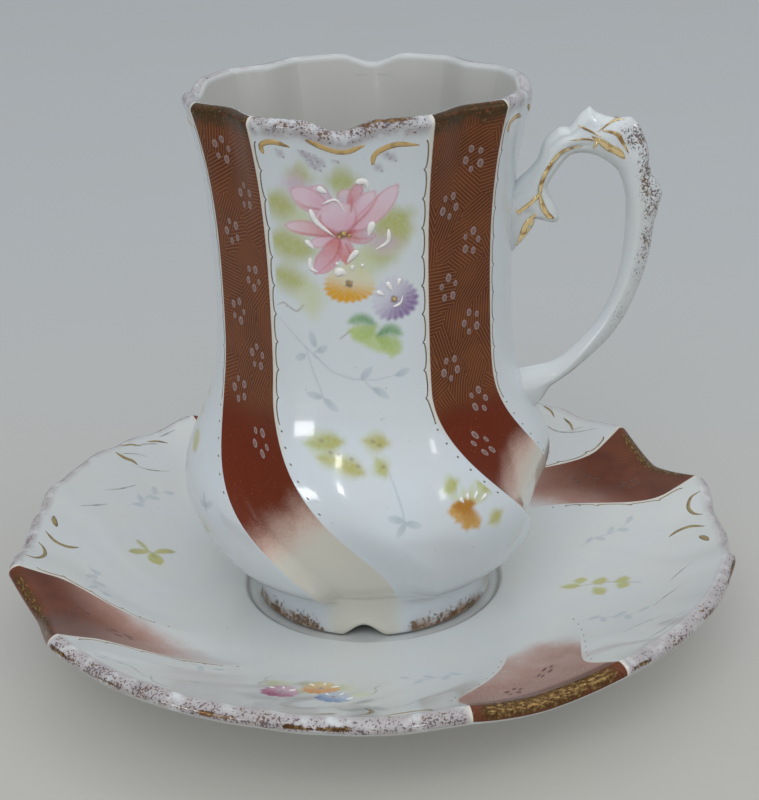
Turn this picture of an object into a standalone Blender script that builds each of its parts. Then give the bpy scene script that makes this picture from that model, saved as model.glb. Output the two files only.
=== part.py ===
"""Porcelain chocolate cup and saucer, in metres, +Z up, with the origin under the middle of the saucer.

A tall slip-cast cup has four white panels and four narrow bands between them. The bands run straight down
the neck and swirl round the belly. A separately cast handle is luted to one panel, and the cup stands in
the well of a saucer whose rim has two raised tips for each band.
"""

import bmesh
import bpy
import numpy as np

# Cup: heights are above the cup's own foot
CUP_HEIGHT = 0.0854
FOOT_RADIUS = 0.0202
FOOT_HEIGHT = 0.0061
FOOT_WALL = 0.0030
FOOT_RECESS = 0.0034
NOTCH_HEIGHT = 0.0020
NOTCH_HALF_ANGLE = 11.0
BELLY_RADIUS = 0.0307
BELLY_HEIGHT = 0.0222
BELLY_ROUNDNESS = 1.75
BELLY_FULLNESS = 0.66
SHOULDER_SPAN = 0.0130
WAIST_RADIUS = 0.0236
WAIST_HEIGHT = 0.0555
RIM_RADIUS = 0.0270
RIM_FLARE_POWER = 2.65
RIM_DIP = 0.0015
RIM_DIP_HALF_ANGLE = 13.0
RIM_HOLLOW = 0.0012
CUP_WALL = 0.0024
CUP_FLOOR = 0.0036
LIP_DROP = 0.0009

# Bands of the cup: angles in degrees about the cup's axis
PANEL_COUNT = 4
BAND_HALF_ANGLE = 15.0
BAND_STEP = 0.0024
BAND_STEP_ANGLE = 2.5
BAND_RUN_OUT_ANGLE = 18.0
SWIRL_ANGLE = 46.0
SWIRL_TOP_HEIGHT = 0.0432
SWIRL_BOTTOM_HEIGHT = 0.0052

# Handle: reach is measured from the waist, heights from the cup's foot, and places run from 0 to 1 along it
HANDLE_REACH = 0.0196
HANDLE_TOP_HEIGHT = 0.0772
HANDLE_ROOT_HEIGHT = 0.0642
HANDLE_END_HEIGHT = 0.0350
HANDLE_ROOT_HALF_HEIGHT = 0.0064
HANDLE_ARM_HALF_DEPTH = 0.0021
HANDLE_HALF_WIDTH = 0.0026
HANDLE_ARCH_DEPTH = 0.0010
CREST_RISE = 0.0022
THUMB_SPUR_RISE = 0.0012
FINGER_SPUR_RISE = 0.0036
FINGER_SPUR_AT = 0.076

# Outlines of the handle's moulded leaf: places along it and shares of the crest's or thumb spur's rise
CREST_LINE = [(0.222, -0.25), (0.234, 0.05), (0.247, 0.5), (0.265, 0.95), (0.277, 0.55), (0.294, 0.4)]
CREST_LINE += [(0.315, 0.45), (0.335, 1.0), (0.350, 0.95), (0.367, 0.65), (0.388, 0.4)]
CREST_LINE += [(0.411, 0.1), (0.426, -0.12)]
THUMB_LINE = [(0.448, -0.2), (0.465, 0.4), (0.481, 0.9), (0.497, 1.0), (0.515, 0.55)]
THUMB_LINE += [(0.535, 0.4), (0.550, 0.05)]

# Saucer
SAUCER_TIP_RADIUS = 0.0607
SAUCER_TIP_HEIGHT = 0.0161
SAUCER_BAND_DIP = 0.0026
SAUCER_SHORT_DIP = 0.0007
SAUCER_LONG_DIP = 0.0014
SAUCER_BAND_START_ANGLE = 18.5
SAUCER_BAND_ANGLE = 23.8
SAUCER_SWIRL_ANGLE = 24.0
SAUCER_SWIRL_WIDTH = 0.0220
SAUCER_SWIRL_MARGIN = 0.0070
SAUCER_WALL = 0.0028
SAUCER_RISE_POWER = 1.9
LIP_ROLL = 0.0018
LIP_FALL = 0.0008
LIP_THICKNESS = 0.0020
WELL_FLOOR_HEIGHT = 0.0045
WELL_DEPTH = 0.0008
WELL_SLOPE = 0.0008
RING_RADIUS = 0.0300
RING_WIDTH = 0.0032

# Fits and shading
WELL_CLEARANCE = 0.0012
SEAT_GAP = 0.0003
SHARP_ANGLE = 35.0

WELL_RADIUS = FOOT_RADIUS + WELL_CLEARANCE
CUP_BASE_HEIGHT = WELL_FLOOR_HEIGHT + SEAT_GAP
SECTOR = 360.0 / PANEL_COUNT


def ease(t):
    """Rises smoothly from 0 at t = 0 to 1 at t = 1."""
    t = np.clip(t, 0.0, 1.0)
    return t * t * (3.0 - 2.0 * t)


def bump(t):
    """A rounded bump, 1 at t = 0 and 0 from t = 1 outwards."""
    return 0.5 + 0.5 * np.cos(np.pi * np.clip(np.abs(t), 0.0, 1.0))


def clear_scene():
    for old in list(bpy.data.objects):
        bpy.data.objects.remove(old, do_unlink=True)


def glaze(name, colour, roughness):
    """A glazed porcelain finish."""
    finish = bpy.data.materials.new(name)
    finish.use_nodes = True
    shader = finish.node_tree.nodes["Principled BSDF"]
    shader.inputs["Base Color"].default_value = (*colour, 1.0)
    shader.inputs["Roughness"].default_value = roughness
    shader.inputs["Metallic"].default_value = 0.0
    return finish


def ring(radius, angle, height):
    """One closed ring of points from a radius, an angle in degrees and a height for each column."""
    radius, angle, height = np.broadcast_arrays(radius, np.radians(angle), height)
    return np.stack([radius * np.cos(angle), radius * np.sin(angle), height], axis=1)


def skin(name, rings, finish):
    """A closed solid from a stack of rings, each joined to the next, with the first and last filled."""
    shape = bmesh.new()
    loops = [[shape.verts.new(point) for point in points] for points in rings]
    for near, far in zip(loops, loops[1:]):
        for i in range(len(near)):
            j = (i + 1) % len(near)
            shape.faces.new((near[i], near[j], far[j], far[i]))
    for loop, points, turned in ((loops[0], rings[0], True), (loops[-1], rings[-1], False)):
        middle = shape.verts.new(points.mean(axis=0))
        for i in range(len(loop)):
            j = (i + 1) % len(loop)
            corners = (loop[j], loop[i], middle) if turned else (loop[i], loop[j], middle)
            shape.faces.new(corners)
    bmesh.ops.recalc_face_normals(shape, faces=shape.faces)
    mesh = bpy.data.meshes.new(name)
    shape.to_mesh(mesh)
    shape.free()
    mesh.shade_smooth()
    mesh.set_sharp_from_angle(angle=np.radians(SHARP_ANGLE))
    mesh.materials.append(finish)
    solid = bpy.data.objects.new(name, mesh)
    bpy.context.scene.collection.objects.link(solid)
    return solid


def cup_columns():
    """Angles from a band's middle, for every column of the cup, gathered at the band's edges."""
    edge = BAND_HALF_ANGLE
    notch = np.array([-0.9, -0.45, 0.0, 0.45, 0.9]) * NOTCH_HALF_ANGLE
    panel = np.linspace(edge, SECTOR - edge, 12)[:-1]
    one = np.concatenate([[-edge, BAND_STEP_ANGLE - edge], notch, panel])
    return np.concatenate([one + SECTOR * k for k in range(PANEL_COUNT)])


CUP_COLUMNS = cup_columns()
FROM_BAND = (CUP_COLUMNS + SECTOR / 2) % SECTOR - SECTOR / 2
FROM_PANEL = CUP_COLUMNS % SECTOR - SECTOR / 2


def cup_angle(height):
    """Where the columns stand at a height: straight down the neck, swirling on over the belly."""
    turned = ease((SWIRL_TOP_HEIGHT - height) / (SWIRL_TOP_HEIGHT - SWIRL_BOTTOM_HEIGHT))
    return CUP_COLUMNS + SECTOR / 2 + SWIRL_ANGLE * turned


def panel_radius(height):
    """The cup's radius on its white panels: foot, round belly, bell-shaped shoulder and flared neck."""
    up = np.clip((height - FOOT_HEIGHT) / (BELLY_HEIGHT - FOOT_HEIGHT), 0.0, 1.0)
    swell = (1.0 - (1.0 - up) ** BELLY_ROUNDNESS) ** BELLY_FULLNESS
    belly = FOOT_RADIUS + (BELLY_RADIUS - FOOT_RADIUS) * swell
    flare = np.clip((height - WAIST_HEIGHT) / (CUP_HEIGHT - WAIST_HEIGHT), 0.0, None)
    neck = WAIST_RADIUS + (RIM_RADIUS - WAIST_RADIUS) * flare**RIM_FLARE_POWER
    bell = np.exp(-(((height - BELLY_HEIGHT) / SHOULDER_SPAN) ** 2))
    return np.where(height < BELLY_HEIGHT, belly, neck + (BELLY_RADIUS - neck) * bell)


def band_recess(height):
    """How far each column stands in from the panels: flat bands on the neck, stepped ones on the belly."""
    radius = panel_radius(height)
    edge = np.radians(BAND_HALF_ANGLE)
    inside = np.radians(np.clip(FROM_BAND, -BAND_HALF_ANGLE, BAND_HALF_ANGLE))
    flat = radius * (1.0 - np.cos(edge) / np.cos(inside))
    hollow = RIM_HOLLOW * bump(FROM_BAND / BAND_HALF_ANGLE) * ease(height / CUP_HEIGHT * 4.0 - 3.0)
    after = 1.0 - ease((FROM_BAND % SECTOR - BAND_HALF_ANGLE) / BAND_RUN_OUT_ANGLE)
    before = ease((FROM_BAND + BAND_HALF_ANGLE) / BAND_STEP_ANGLE)
    step = np.where(FROM_BAND < 0.0, before, after)
    deep = BAND_STEP * ease((1.55 * BELLY_HEIGHT - height) / BELLY_HEIGHT)
    deep = np.minimum(deep, 0.9 * (radius - FOOT_RADIUS))
    return flat * ease((height - FOOT_HEIGHT) / BELLY_HEIGHT) + hollow + deep * step


def cup_row(height, inset=0.0):
    """A ring of the cup's wall; near the top it follows the rim, which dips in the middle of each panel."""
    dip = RIM_DIP * bump(FROM_PANEL / RIM_DIP_HALF_ANGLE)
    near_rim = ease((height - WAIST_HEIGHT) / (CUP_HEIGHT - WAIST_HEIGHT))
    radius = panel_radius(height) - band_recess(height) - inset
    return ring(radius, cup_angle(height), CUP_BASE_HEIGHT + height - dip * near_rim)


def cup_heights(outside):
    """The heights of the wall's rings, from the foot's crease or the inner floor up to the lip."""
    belly = np.array([0.04, 0.12, 0.24, 0.40, 0.60, 0.80, 1.0]) if outside else np.array([0.80, 1.0])
    low = FOOT_HEIGHT + (BELLY_HEIGHT - FOOT_HEIGHT) * belly
    shoulder = np.linspace(BELLY_HEIGHT, WAIST_HEIGHT, 10 if outside else 8)[1:]
    neck = np.linspace(WAIST_HEIGHT, CUP_HEIGHT - LIP_DROP, 7 if outside else 5)[1:]
    return np.concatenate([low, shoulder, neck])


def make_cup_body(finish):
    """The cast cup: recessed base, notched foot, swirled wall, rounded lip and smooth inside."""
    turned = cup_angle(0.0)
    arch = NOTCH_HEIGHT * bump(FROM_BAND / NOTCH_HALF_ANGLE)
    base = CUP_BASE_HEIGHT
    inner_foot = FOOT_RADIUS - FOOT_WALL
    bevel = 0.15 * FOOT_WALL
    rings = [
        ring(0.5 * inner_foot, turned, base + FOOT_RECESS),
        ring(inner_foot - bevel, turned, base + FOOT_RECESS),
        ring(inner_foot, turned, base + FOOT_RECESS - bevel),
        ring(inner_foot + bevel, turned, base + arch),
        ring(FOOT_RADIUS - 2 * bevel, turned, base + arch),
        ring(FOOT_RADIUS - 0.5 * bevel, turned, base + arch + bevel),
        ring(FOOT_RADIUS - bevel, turned, base + 0.5 * (FOOT_HEIGHT + NOTCH_HEIGHT)),
        ring(FOOT_RADIUS, cup_angle(FOOT_HEIGHT), base + FOOT_HEIGHT),
    ]
    rings += [cup_row(height) for height in cup_heights(True)]
    rings.append(cup_row(CUP_HEIGHT, 0.5 * CUP_WALL))
    rings += [cup_row(height, CUP_WALL) for height in cup_heights(False)[::-1]]
    lowest = rings[-1]
    floor = base + FOOT_RECESS + CUP_FLOOR
    for t in (0.35, 0.65, 0.88):
        # The inside rounds into its floor along a quarter of a flattened ellipse
        shrink = np.cos(0.5 * np.pi * t)
        bowl = lowest * np.array([shrink, shrink, 1.0])
        bowl[:, 2] = lowest[:, 2] + (floor - lowest[:, 2]) * np.sin(0.5 * np.pi * t)
        rings.append(bowl)
    return skin("cup_body", rings, finish)


def make_handle_seat(finish):
    """The cup's outside, grown by the seat gap: it trims the handle's two roots to the wall."""
    rings = [cup_row(height, -SEAT_GAP) for height in cup_heights(True)[2:]]
    seat = skin("handle_seat", rings, finish)
    seat.hide_render = True
    seat.display_type = "WIRE"
    return seat


def smooth_curve(points, samples):
    """Points spread along a Catmull-Rom curve through the given ones."""
    ends = np.concatenate([[2 * points[0] - points[1]], points, [2 * points[-1] - points[-2]]])
    at = np.linspace(0.0, len(points) - 1.0, samples)
    k = np.minimum(at.astype(int), len(points) - 2)
    t = (at - k)[:, None]
    a, b, c, d = (ends[k + i] for i in range(4))
    return 0.5 * (2 * b + (c - a) * t + (2 * a - 5 * b + 4 * c - d) * t**2 + (3 * b - a - 3 * c + d) * t**3)


def handle_spine():
    """The handle's middle line in the plane of the cup's axis, as distance from the axis and height.

    Each row is a share of the reach beyond the waist, then a height between the root, the top and the end.
    """
    rise = HANDLE_TOP_HEIGHT - HANDLE_ROOT_HEIGHT
    fall = HANDLE_TOP_HEIGHT - HANDLE_END_HEIGHT
    up = [(-0.16, 0.00), (0.08, 0.20), (0.24, 0.62), (0.40, 0.92)]
    down = [(0.60, 0.00), (0.79, 0.025), (0.93, 0.09), (0.985, 0.18), (1.00, 0.29), (0.98, 0.42)]
    down += [(0.91, 0.55), (0.79, 0.68), (0.62, 0.80), (0.42, 0.905), (0.22, 0.96), (-0.10, 1.00)]
    rows = [(x, HANDLE_ROOT_HEIGHT + rise * z) for x, z in up]
    rows += [(x, HANDLE_TOP_HEIGHT - fall * z) for x, z in down]
    rows = np.array(rows)
    rows[:, 0] = WAIST_RADIUS + HANDLE_REACH * rows[:, 0]
    return rows


def handle_places():
    """Places along the handle for its rings, close together on the spur, the crest and the thumb spur."""
    root = [0.0, 0.03, 0.05, 0.062, 0.069, 0.076, 0.084, 0.094, 0.107, 0.12, 0.135, 0.15, 0.17, 0.19, 0.207]
    leaf = [place for place, rise in CREST_LINE] + [place for place, rise in THUMB_LINE]
    arm = [0.60, 0.65, 0.70, 0.75, 0.80, 0.84, 0.88, 0.91, 0.93, 0.95, 0.97, 1.0]
    return np.array(root + leaf + arm)


def handle_reach(t):
    """How far the handle reaches out and in from its spine at places along it.

    The arm has an even depth, less where it is slim. Added to it are the two roots, the leaf's crest and
    thumb spur outside, and the arch and the finger spur inside.
    """
    arm = HANDLE_ARM_HALF_DEPTH
    root = HANDLE_ROOT_HALF_HEIGHT - arm
    crest = CREST_RISE * np.interp(t, *np.transpose([(0.207, 0.0)] + CREST_LINE + [(0.44, 0.0)]))
    thumb = THUMB_SPUR_RISE * np.interp(t, *np.transpose([(0.435, 0.0)] + THUMB_LINE + [(0.56, 0.0)]))
    finger = FINGER_SPUR_RISE * bump((t - FINGER_SPUR_AT) / np.where(t < FINGER_SPUR_AT, 0.014, 0.033))
    outer = 1.1 * arm + 0.55 * root * (1.0 - ease(t / 0.125)) + crest + thumb
    outer += arm * (1.4 * ease((t - 0.905) / 0.07) - 0.42 * bump((t - 0.135) / 0.047))
    outer -= arm * 0.5 * bump((t - 0.88) / 0.14)
    inner = arm + root * (1.0 - ease(t / 0.10)) + finger + HANDLE_ARCH_DEPTH * bump((t - 0.33) / 0.2)
    inner += arm * (0.52 * ease((t - 0.83) / 0.15) - 0.45 * bump((t - 0.74) / 0.2))
    return outer, inner


def make_handle(finish, seat):
    """The cast handle: one oval section carried along the spine, with a leafy crest and two spurs."""
    fine = np.linspace(0.0, 1.0, 481)
    line = smooth_curve(handle_spine(), len(fine))
    ahead = np.gradient(line, axis=0)
    t = handle_places()
    spine = np.stack([np.interp(t, fine, line[:, 0]), np.interp(t, fine, line[:, 1])], axis=1)
    along = np.stack([np.interp(t, fine, ahead[:, 0]), np.interp(t, fine, ahead[:, 1])], axis=1)
    along /= np.linalg.norm(along, axis=1)[:, None]
    outward = np.stack([-along[:, 1], along[:, 0]], axis=1)
    outer, inner = handle_reach(t)
    wide = HANDLE_HALF_WIDTH * (1.0 - 0.28 * ease((t - 0.45) / 0.35) + 0.30 * ease((t - 0.86) / 0.14))
    turn = np.linspace(0.0, 2 * np.pi, 12, endpoint=False)
    rings = []
    for k in range(len(t)):
        reach = np.where(np.cos(turn) > 0.0, outer[k], inner[k]) * np.cos(turn)
        flat = spine[k] + reach[:, None] * outward[k]
        side = wide[k] * np.sin(turn)
        rings.append(np.stack([flat[:, 0], side, CUP_BASE_HEIGHT + flat[:, 1]], axis=1))
    handle = skin("cup_handle", rings, finish)
    trim = handle.modifiers.new("trim_roots", "BOOLEAN")
    trim.operation = "DIFFERENCE"
    trim.solver = "EXACT"
    trim.object = seat
    return handle


def saucer_columns():
    """Angles from a band's first tip, for every column of the saucer."""
    band = np.linspace(0.0, SAUCER_BAND_ANGLE, 6)[:-1]
    panel = np.linspace(SAUCER_BAND_ANGLE, SECTOR, 13)[:-1]
    one = np.concatenate([band, panel])
    return np.concatenate([one + SECTOR * k for k in range(PANEL_COUNT)])


SAUCER_COLUMNS = saucer_columns()


def saucer_rim():
    """Radius and height of the rim, which draws in as far as it falls between its tips.

    A band has one dip. A panel has a short dip after its first tip and a long one before its last.
    """
    along = SAUCER_COLUMNS % SECTOR
    on_band = along < SAUCER_BAND_ANGLE
    across = (along - SAUCER_BAND_ANGLE) / (SECTOR - SAUCER_BAND_ANGLE)
    band = SAUCER_BAND_DIP * (1.0 - np.abs(2.0 * along / SAUCER_BAND_ANGLE - 1.0) ** 1.5)
    panel = SAUCER_SHORT_DIP * bump((across - 0.14) / 0.14)
    panel += SAUCER_LONG_DIP * bump((across - 0.82) / np.where(across > 0.82, 0.18, 0.34))
    dip = np.where(on_band, band, panel)
    return SAUCER_TIP_RADIUS - dip, SAUCER_TIP_HEIGHT - dip


def saucer_row(share, drop=0.0):
    """A ring of the dish, from the well's edge at share 0 to the rim's crest at share 1."""
    rim_radius, rim_height = saucer_rim()
    well_edge = WELL_RADIUS + WELL_SLOPE
    crest = rim_radius - LIP_ROLL
    radius = well_edge + (crest - well_edge) * share
    low = WELL_FLOOR_HEIGHT + WELL_DEPTH
    height = low + (rim_height - low) * share**SAUCER_RISE_POWER - drop
    start = SAUCER_TIP_RADIUS - SAUCER_SWIRL_MARGIN
    turned = SAUCER_SWIRL_ANGLE * ease((start - radius) / SAUCER_SWIRL_WIDTH)
    return ring(radius, SAUCER_BAND_START_ANGLE + SAUCER_COLUMNS + turned, height)


def make_saucer(finish):
    """The pressed saucer: foot ring, dished wall, rolled lip and the well that the cup stands in."""
    rim_radius, rim_height = saucer_rim()
    rim_angle = SAUCER_BAND_START_ANGLE + SAUCER_COLUMNS
    inner_angle = rim_angle + SAUCER_SWIRL_ANGLE
    under = WELL_FLOOR_HEIGHT - SAUCER_WALL
    half = 0.5 * RING_WIDTH
    bevel = 0.15 * RING_WIDTH
    rings = [
        ring(0.5 * RING_RADIUS, inner_angle, under),
        ring(RING_RADIUS - half - bevel, inner_angle, under),
        ring(RING_RADIUS - half, inner_angle, bevel),
        ring(RING_RADIUS - half + bevel, inner_angle, 0.0),
        ring(RING_RADIUS + half - bevel, inner_angle, 0.0),
        ring(RING_RADIUS + half, inner_angle, bevel),
    ]
    well_edge = WELL_RADIUS + WELL_SLOPE
    first = (RING_RADIUS + half + bevel - well_edge) / (SAUCER_TIP_RADIUS - LIP_ROLL - well_edge)
    rings += [saucer_row(share, SAUCER_WALL) for share in np.linspace(first, 0.93, 6)]
    edge_height = rim_height - LIP_FALL
    rings.append(ring(rim_radius - 0.6 * LIP_ROLL, rim_angle, edge_height - LIP_THICKNESS))
    rings.append(ring(rim_radius, rim_angle, edge_height - 0.6 * LIP_THICKNESS))
    rings.append(ring(rim_radius, rim_angle, edge_height))
    rings.append(ring(rim_radius - 0.5 * LIP_ROLL, rim_angle, rim_height - 0.25 * LIP_FALL))
    rings += [saucer_row(share) for share in np.linspace(1.0, 0.0, 10)]
    rings.append(ring(WELL_RADIUS, inner_angle, WELL_FLOOR_HEIGHT))
    rings.append(ring(0.5 * WELL_RADIUS, inner_angle, WELL_FLOOR_HEIGHT))
    return skin("saucer", rings, finish)


clear_scene()
make_saucer(glaze("saucer_glaze", (0.80, 0.82, 0.82), 0.08))
cup = make_cup_body(glaze("cup_glaze", (0.80, 0.82, 0.82), 0.08))
seat = make_handle_seat(cup.data.materials[0])
make_handle(glaze("handle_glaze", (0.80, 0.81, 0.79), 0.08), seat)
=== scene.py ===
"""Painted porcelain chocolate cup and saucer: the looks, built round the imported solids.

Lengths are in millimetres until a mesh is written, and angles are in degrees about the cup's axis.
"""

import bpy
import numpy as np
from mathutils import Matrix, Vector


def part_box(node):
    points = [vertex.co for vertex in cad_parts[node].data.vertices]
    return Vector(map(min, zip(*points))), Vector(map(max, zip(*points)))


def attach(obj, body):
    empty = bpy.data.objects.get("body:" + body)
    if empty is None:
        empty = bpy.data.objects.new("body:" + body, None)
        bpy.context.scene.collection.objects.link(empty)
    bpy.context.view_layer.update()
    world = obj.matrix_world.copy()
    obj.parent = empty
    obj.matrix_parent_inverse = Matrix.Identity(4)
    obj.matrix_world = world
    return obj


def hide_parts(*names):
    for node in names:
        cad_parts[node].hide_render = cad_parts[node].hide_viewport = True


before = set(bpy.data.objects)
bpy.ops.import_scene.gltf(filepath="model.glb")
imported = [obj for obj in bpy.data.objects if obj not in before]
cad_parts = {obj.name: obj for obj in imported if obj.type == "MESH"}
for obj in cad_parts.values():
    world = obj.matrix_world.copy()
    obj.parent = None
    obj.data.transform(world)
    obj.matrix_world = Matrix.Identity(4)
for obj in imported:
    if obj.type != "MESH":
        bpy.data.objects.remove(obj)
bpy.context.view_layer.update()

# Saucer
# One pressed and fired porcelain dish under a clear glaze, with four chestnut bands dusted on between
# white panels. The bands curl towards the well and fade out, and the rolled lip is sponged with gold.
MM = 0.001
SECTOR = 90.0
TIP_RADIUS = 60.7
TIP_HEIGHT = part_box("saucer")[1][2] / MM
BAND_DIP = 2.6
SHORT_DIP = 0.7
LONG_DIP = 1.4
FLUTE_DEPTH = 0.16
DISH_BAND_START = 18.5
DISH_BAND_ANGLE = 23.8
DISH_SWIRL = 24.0
DISH_SWIRL_START = 53.7
DISH_SWIRL_WIDTH = 22.0
DISH_WALL = 2.8
DISH_RISE_POWER = 1.9
LIP_ROLL = 1.8
LIP_HALF_HEIGHT = 1.35
WELL_FLOOR = 4.5
WELL_LIP = 5.3
WELL_RADIUS = 21.4
WELL_EDGE = 22.2
RING_RADIUS = 30.0
RING_HALF_WIDTH = 1.6


def ease(t):
    """Rises from 0 at t = 0 to 1 at t = 1 along three t squared minus two t cubed."""
    t = np.clip(t, 0.0, 1.0)
    return t * t * (3.0 - 2.0 * t)


def bump(t):
    """One rounded wave of a cosine: 1 at t = 0, and 0 from t = 1 outwards."""
    return 0.5 + 0.5 * np.cos(np.pi * np.clip(np.abs(t), 0.0, 1.0))


def ring(radius, angle, height):
    """Points at a radius, an angle in degrees and a height, each a number or an array."""
    radius, angle, height = np.broadcast_arrays(radius, np.radians(angle), height)
    return np.stack([radius * np.cos(angle), radius * np.sin(angle), height], axis=-1)


def skin(name, stacks, finish, **details):
    """One mesh from stacks of closed rings, each stack an array of rings by columns by x, y, z.

    Quads join each ring to the next, and the first and last ring close on their middle point. Each
    detail is a list with one array for each stack, stored on the points under the detail's name.
    """
    points, quads, fans, start = [], [], [], 0
    for stack in stacks:
        rings, columns = stack.shape[:2]
        here = start + np.arange(rings * columns).reshape(rings, columns)
        onward = np.roll(here, -1, axis=1)
        pole = start + rings * columns
        quads.append(np.stack([here[:-1], onward[:-1], onward[1:], here[1:]], axis=-1).reshape(-1, 4))
        fans.append(np.stack([onward[0], here[0], np.full(columns, pole)], axis=-1))
        fans.append(np.stack([here[-1], onward[-1], np.full(columns, pole + 1)], axis=-1))
        points += [stack.reshape(-1, 3), stack[[0, -1]].mean(axis=1)]
        start = pole + 2
    points, quads, fans = (np.concatenate(part) for part in (points, quads, fans))
    corners = np.concatenate([quads.ravel(), fans.ravel()])
    sides = np.concatenate([np.full(len(quads), 4), np.full(len(fans), 3)])
    mesh = bpy.data.meshes.new(name)
    mesh.vertices.add(len(points))
    mesh.vertices.foreach_set("co", (points * MM).ravel())
    mesh.loops.add(len(corners))
    mesh.loops.foreach_set("vertex_index", corners.astype(np.int32))
    mesh.polygons.add(len(sides))
    mesh.polygons.foreach_set("loop_start", (np.cumsum(sides) - sides).astype(np.int32))
    mesh.update(calc_edges=True)
    mesh.shade_smooth()
    kinds = {1: ("FLOAT", "value"), 3: ("FLOAT_VECTOR", "vector"), 4: ("FLOAT_COLOR", "color")}
    for detail, arrays in details.items():
        width = arrays[0].shape[-1]
        flat = [np.concatenate([a.reshape(-1, width), a[[0, -1]].mean(axis=1)]) for a in arrays]
        kind, field = kinds[width]
        layer = mesh.attributes.new(detail, kind, "POINT")
        layer.data.foreach_set(field, np.concatenate(flat).astype(np.float32).ravel())
    mesh.materials.append(finish)
    piece = bpy.data.objects.new(name, mesh)
    bpy.context.scene.collection.objects.link(piece)
    return piece


class Recipe:
    """Builds one material's nodes. A plain number or colour is set on the socket that it goes to."""

    def __init__(self, name):
        self.material = bpy.data.materials.new(name)
        self.material.use_nodes = True
        self.tree = self.material.node_tree
        self.shader = self.tree.nodes["Principled BSDF"]

    def put(self, socket, value):
        if isinstance(value, bpy.types.NodeSocket):
            self.tree.links.new(value, socket)
        elif hasattr(value, "__len__") and len(value) == 3 and socket.type == "RGBA":
            socket.default_value = (*value, 1.0)
        else:
            socket.default_value = value

    def add(self, kind, values, **settings):
        node = self.tree.nodes.new(kind)
        for field, setting in settings.items():
            setattr(node, field, setting)
        for key, value in values.items():
            self.put(node.inputs[key], value)
        return node

    def math(self, operation, *values):
        return self.add("ShaderNodeMath", dict(enumerate(values)), operation=operation).outputs[0]

    def mix(self, share, first, second):
        """From the first colour at share 0 to the second at share 1."""
        node = self.tree.nodes.new("ShaderNodeMix")
        node.data_type = "RGBA"
        for socket, value in zip((node.inputs[0], node.inputs[6], node.inputs[7]), (share, first, second)):
            self.put(socket, value)
        return node.outputs[2]

    def rise(self, value, low, high):
        """Eases from 0 where the value is low to 1 where it is high; low may be the larger."""
        values = {"Value": value, "From Min": low, "From Max": high}
        return self.add("ShaderNodeMapRange", values, interpolation_type="SMOOTHSTEP").outputs[0]

    def detail(self, name):
        return self.add("ShaderNodeAttribute", {}, attribute_name=name)

    def split(self, vector):
        return self.add("ShaderNodeSeparateXYZ", {"Vector": vector}).outputs[:]

    def noise(self, size, detail=2.0, roughness=0.5, vector=None):
        """Cloudy noise from 0 to 1, with features of a size in millimetres."""
        if vector is None:
            vector = self.add("ShaderNodeTexCoord", {}).outputs["Object"]
            size = size * MM
        values = {"Vector": vector, "Scale": 1.0 / size, "Detail": detail, "Roughness": roughness}
        return self.add("ShaderNodeTexNoise", values).outputs[0]

    def relief(self, height, distance, strength):
        values = {"Height": height, "Distance": distance * MM, "Strength": strength}
        self.put(self.shader.inputs["Normal"], self.add("ShaderNodeBump", values).outputs[0])

    def set(self, **values):
        for name, value in values.items():
            self.put(self.shader.inputs[name.replace("_", " ")], value)


GLAZE_COAT = {"IOR": 1.52, "Coat_Weight": 0.6, "Coat_Roughness": 0.03, "Coat_IOR": 1.5}
MAUVE = (0.120, 0.085, 0.090)
LILAC = (0.40, 0.355, 0.365)
GILT = (0.86, 0.58, 0.22)
OLD_GILT = (0.13, 0.062, 0.024)
IRON_SPECK = (0.20, 0.17, 0.15)
SPONGE_SPECK_SIZE = 0.36


def white_glaze(recipe, warm, cool):
    """Pooled glaze: a cloudy drift between two whites, with a few iron specks fired into it."""
    white = recipe.mix(recipe.rise(recipe.noise(9.0, 3.0), 0.35, 0.65), warm, cool)
    speck = recipe.rise(recipe.noise(0.40, 0.0), 0.85, 0.89)
    return recipe.mix(recipe.math("MULTIPLY", speck, 0.45), white, IRON_SPECK)


def sponged(recipe, colour, sponge, gilt, haze, grain=0.30, leaf=(GILT, OLD_GILT), brushed=None):
    """Lilac clouds and brown specks where the sponge is above 0, then rubbed leaf where gilt is above 0.

    The leaf is brightest where gilt is near 1, and its grain runs along the brushed place if there is one.
    Returns the colour and how much of it is metal.
    """
    patchy = recipe.noise(2.6, 2.0)
    cloud = recipe.math("MULTIPLY", recipe.rise(sponge, 0.0, 0.6), recipe.rise(patchy, 0.20, 0.52))
    colour = recipe.mix(recipe.math("MULTIPLY", cloud, haze), colour, LILAC)
    fine = recipe.math("MULTIPLY_ADD", patchy, 0.45, recipe.noise(SPONGE_SPECK_SIZE, 2.0, 0.6))
    limit = recipe.math("MULTIPLY_ADD", sponge, -0.34, 1.03)
    specks = recipe.rise(recipe.math("SUBTRACT", fine, limit), 0.0, 0.05)
    specks = recipe.math("MULTIPLY", specks, recipe.rise(sponge, 0.0, 0.12))
    golden = recipe.rise(recipe.noise(2.0, 2.0), 0.46, 0.58)
    tone = recipe.mix(golden, MAUVE, OLD_GILT)
    colour = recipe.mix(recipe.math("MULTIPLY", specks, 0.92), colour, tone)
    worn = recipe.math("MULTIPLY_ADD", recipe.noise(3.0, 2.0), 0.7, recipe.noise(grain, 3.0, 0.65, brushed))
    rubbed = recipe.rise(recipe.math("MULTIPLY_ADD", gilt, 0.50, worn), 1.02, 1.26)
    rubbed = recipe.math("MULTIPLY", rubbed, recipe.rise(gilt, 0.0, 0.2))
    bright, dull = leaf
    gleam = recipe.math("MULTIPLY_ADD", gilt, 0.2, recipe.noise(1.4 * grain, 3.0, 0.7, brushed))
    tone = recipe.mix(recipe.rise(gleam, 1.06, 0.62), bright, dull)
    return recipe.mix(rubbed, colour, tone), recipe.math("MULTIPLY", rubbed, 0.85)


HATCH_PITCH = 0.52
HATCH_PATCH = 5.2


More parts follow.
